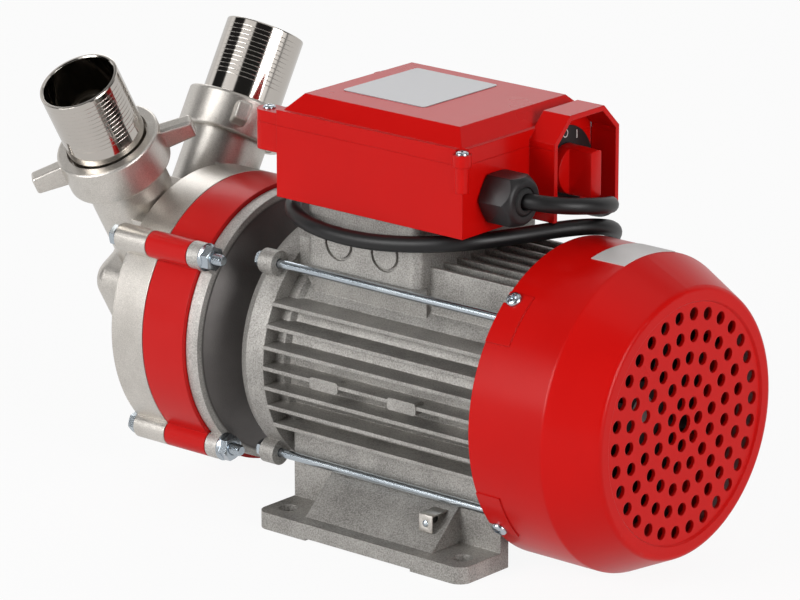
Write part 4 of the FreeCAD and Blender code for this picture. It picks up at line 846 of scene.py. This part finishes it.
glandSettings = {"axis": (0.0458, -0.0265, 0.1817), "flats": 23.8, "length": 19.0, "tip": 10.4, "bore": 5.2,
                 "nose": 5.5, "noseFlare": 1.2, "lip": 0.8, "mouthDepth": 6.0, "mouthFlare": (1.8, 2.4),
                 "roll": 30, "round": 0.0003,
                 "sealReach": 19.8, "sealRadius": 7.0, "sealDepth": 5.9, "sealGap": 0.1,
                 "sealSlope": (0.9, 1.4, 0.2), "sealMouth": 0.5}


def makeGlandCap(settings):
    # a long six-sided cap with a corner upwards, turned down to a round nose
    length, tip, bore = settings["length"], settings["tip"], settings["bore"]
    cap = hexBlock("glandCap", settings["flats"], 0, length)
    wide, lip = settings["flats"] / math.sqrt(3) + pastCut, length - settings["lip"]
    nose = turnedPiece("cutter", [(0, -pastCut), (wide, -pastCut), (wide, length - settings["nose"]),
                                  (tip + settings["noseFlare"], lip), (tip, length), (0, length)], 64)
    cap = carve(cap, nose, "INTERSECT")
    floor, top = length - settings["mouthDepth"], length + pastCut / 2
    inner, outer = settings["mouthFlare"]
    mouth = turnedPiece("cutter", [(0, floor), (bore, floor), (bore + inner, lip), (bore + outer, top),
                                   (0, top)], 48)
    carve(cap, mouth)
    roundEdges(cap, settings["round"], 2, 25)
    standAlong(cap, settings["axis"], toMotor, math.radians(settings["roll"]))
    smoothByAngle(cap, 28)
    return dress(cap, finishes["black_plastic"], "black_plastic", "pump_frame", "gland_nut", "gland_body")


def makeGlandSeal(settings):
    wide, high, gap = settings["sealRadius"], settings["sealReach"], settings["sealGap"]
    bore, low = cableSettings["radius"] / mm - gap, settings["length"] - settings["sealDepth"]
    inwards, shoulder, rim = settings["sealSlope"]
    mouth = settings["sealMouth"]
    seal = turnedPiece("glandSeal", [(bore, low), (settings["bore"] - gap, low), (wide, high - shoulder),
                                     (wide - inwards, high - rim), (bore + mouth, high),
                                     (bore, high - mouth), (bore, low)], 40)
    standAlong(seal, settings["axis"], toMotor)
    smoothByAngle(seal, 40)
    return dress(seal, finishes["seal_rubber"], "seal_rubber", "pump_frame")


makeGlandCap(glandSettings)
makeGlandSeal(glandSettings)
print("gland ready")


# Earth tab, a bent strip with a hole

tabSettings = {"centre": (0.032, 0.02035), "front": -0.0615, "side": 8.4, "strip": 0.9,
               "depth": 12.0, "hole": 1.5, "holeCut": 4.0, "round": 0.00015,
               "rivetShank": 1.4, "rivetDepth": 2.6, "rivetSink": 0.1,
               "rivetHead": [(1.75, -0.1), (1.75, 0.1), (1.0, 0.6), (0, 0.8)]}


def makeEarthTab(settings):
    # a plate facing the user, its upper edge folded back to the foot, thickened and rounded
    clearSelection()
    bpy.ops.mesh.primitive_plane_add(size=settings["side"] * mm, rotation=(math.radians(90), 0, 0))
    tab = settle(namePiece("earthTab"))
    bpy.ops.object.mode_set(mode="EDIT")
    bpy.ops.mesh.select_mode(type="EDGE")
    bpy.ops.mesh.select_all(action="DESELECT")
    shape = bmesh.from_edit_mesh(tab.data)
    for edge in shape.edges:
        edge.select = all(corner.co.z > 0 for corner in edge.verts)
    shape.select_flush(True)
    bmesh.update_edit_mesh(tab.data)
    bpy.ops.mesh.extrude_region_move(TRANSFORM_OT_translate={"value": (0, settings["depth"] * mm, 0)})
    bpy.ops.mesh.select_all(action="SELECT")
    bpy.ops.mesh.normals_make_consistent(inside=False)
    bpy.ops.object.mode_set(mode="OBJECT")
    addModifier(tab, "SOLIDIFY", thickness=settings["strip"] * mm, offset=0)
    clearSelection()
    bpy.ops.mesh.primitive_cylinder_add(vertices=32, radius=settings["hole"] * mm,
                                        depth=settings["holeCut"] * mm, rotation=(math.radians(90), 0, 0))
    carve(tab, settle(namePiece("cutter")))
    roundEdges(tab, settings["round"], 2, 40)
    along, up = settings["centre"]
    tab.location = (along, settings["front"] + settings["strip"] * mm / 2, up)
    settle(tab)
    smoothByAngle(tab, 35)
    return dress(tab, finishes["nickel_casting"], "nickel_casting", "pump_frame", "earth_tab")


def makeRivet(settings):
    shank, depth = settings["rivetShank"], settings["rivetDepth"]
    rivet = turnedPiece("earthRivet", [(0, -depth), (shank, -depth), (shank, -settings["rivetSink"])]
                        + settings["rivetHead"], 32)
    along, up = settings["centre"]
    standAlong(rivet, (along, settings["front"], up), (0, -1, 0))
    smoothByAngle(rivet, 40)
    return dress(rivet, finishes["zinc_fastener"], "zinc_fastener", "pump_frame", "earth_screw")


makeRivet(tabSettings)
makeEarthTab(tabSettings)
print("earth tab ready")


# Marks on the switch dial

dialSettings = {"centre": (0.0469, 0.0265, 0.1845), "ringReach": 17.4, "ringRadius": 2.0,
                "ringDraft": 0.1, "ringStretch": (1, 1.15, 1), "barReach": 17.8, "barAngle": 30,
                "stroke": 0.6, "barHeight": 4.2, "thickness": 0.16, "round": 0.00006}


def markDial(settings):
    centre, thick = Vector(settings["centre"]), settings["thickness"]
    outer, inner = settings["ringRadius"], settings["ringRadius"] - settings["stroke"]
    draft = settings["ringDraft"]
    ring = turnedPiece("ringMark", [(inner, 0), (outer, 0), (outer - draft, thick), (inner + draft, thick),
                                    (inner, 0)], 40)
    ring.scale = settings["ringStretch"]
    settle(ring)
    standAlong(ring, centre + Vector((0, 0, settings["ringReach"] * mm)), toMotor)
    turn = math.radians(settings["barAngle"])
    clearSelection()
    bpy.ops.mesh.primitive_cube_add(size=1, scale=(2 * thick * mm, settings["stroke"] * mm,
                                                   settings["barHeight"] * mm),
                                    location=centre + Vector((0, math.sin(turn), math.cos(turn)))
                                    * settings["barReach"] * mm)
    bar = settle(namePiece("barMark"))
    roundEdges(bar, settings["round"])
    marks = joinPieces([ring, bar], "dialMarks")
    dress(marks, finishes["label_white"], "label_white", "pump_frame")


markDial(dialSettings)
print("dial marks ready")


bpy.context.scene.view_settings.view_transform = "Standard"
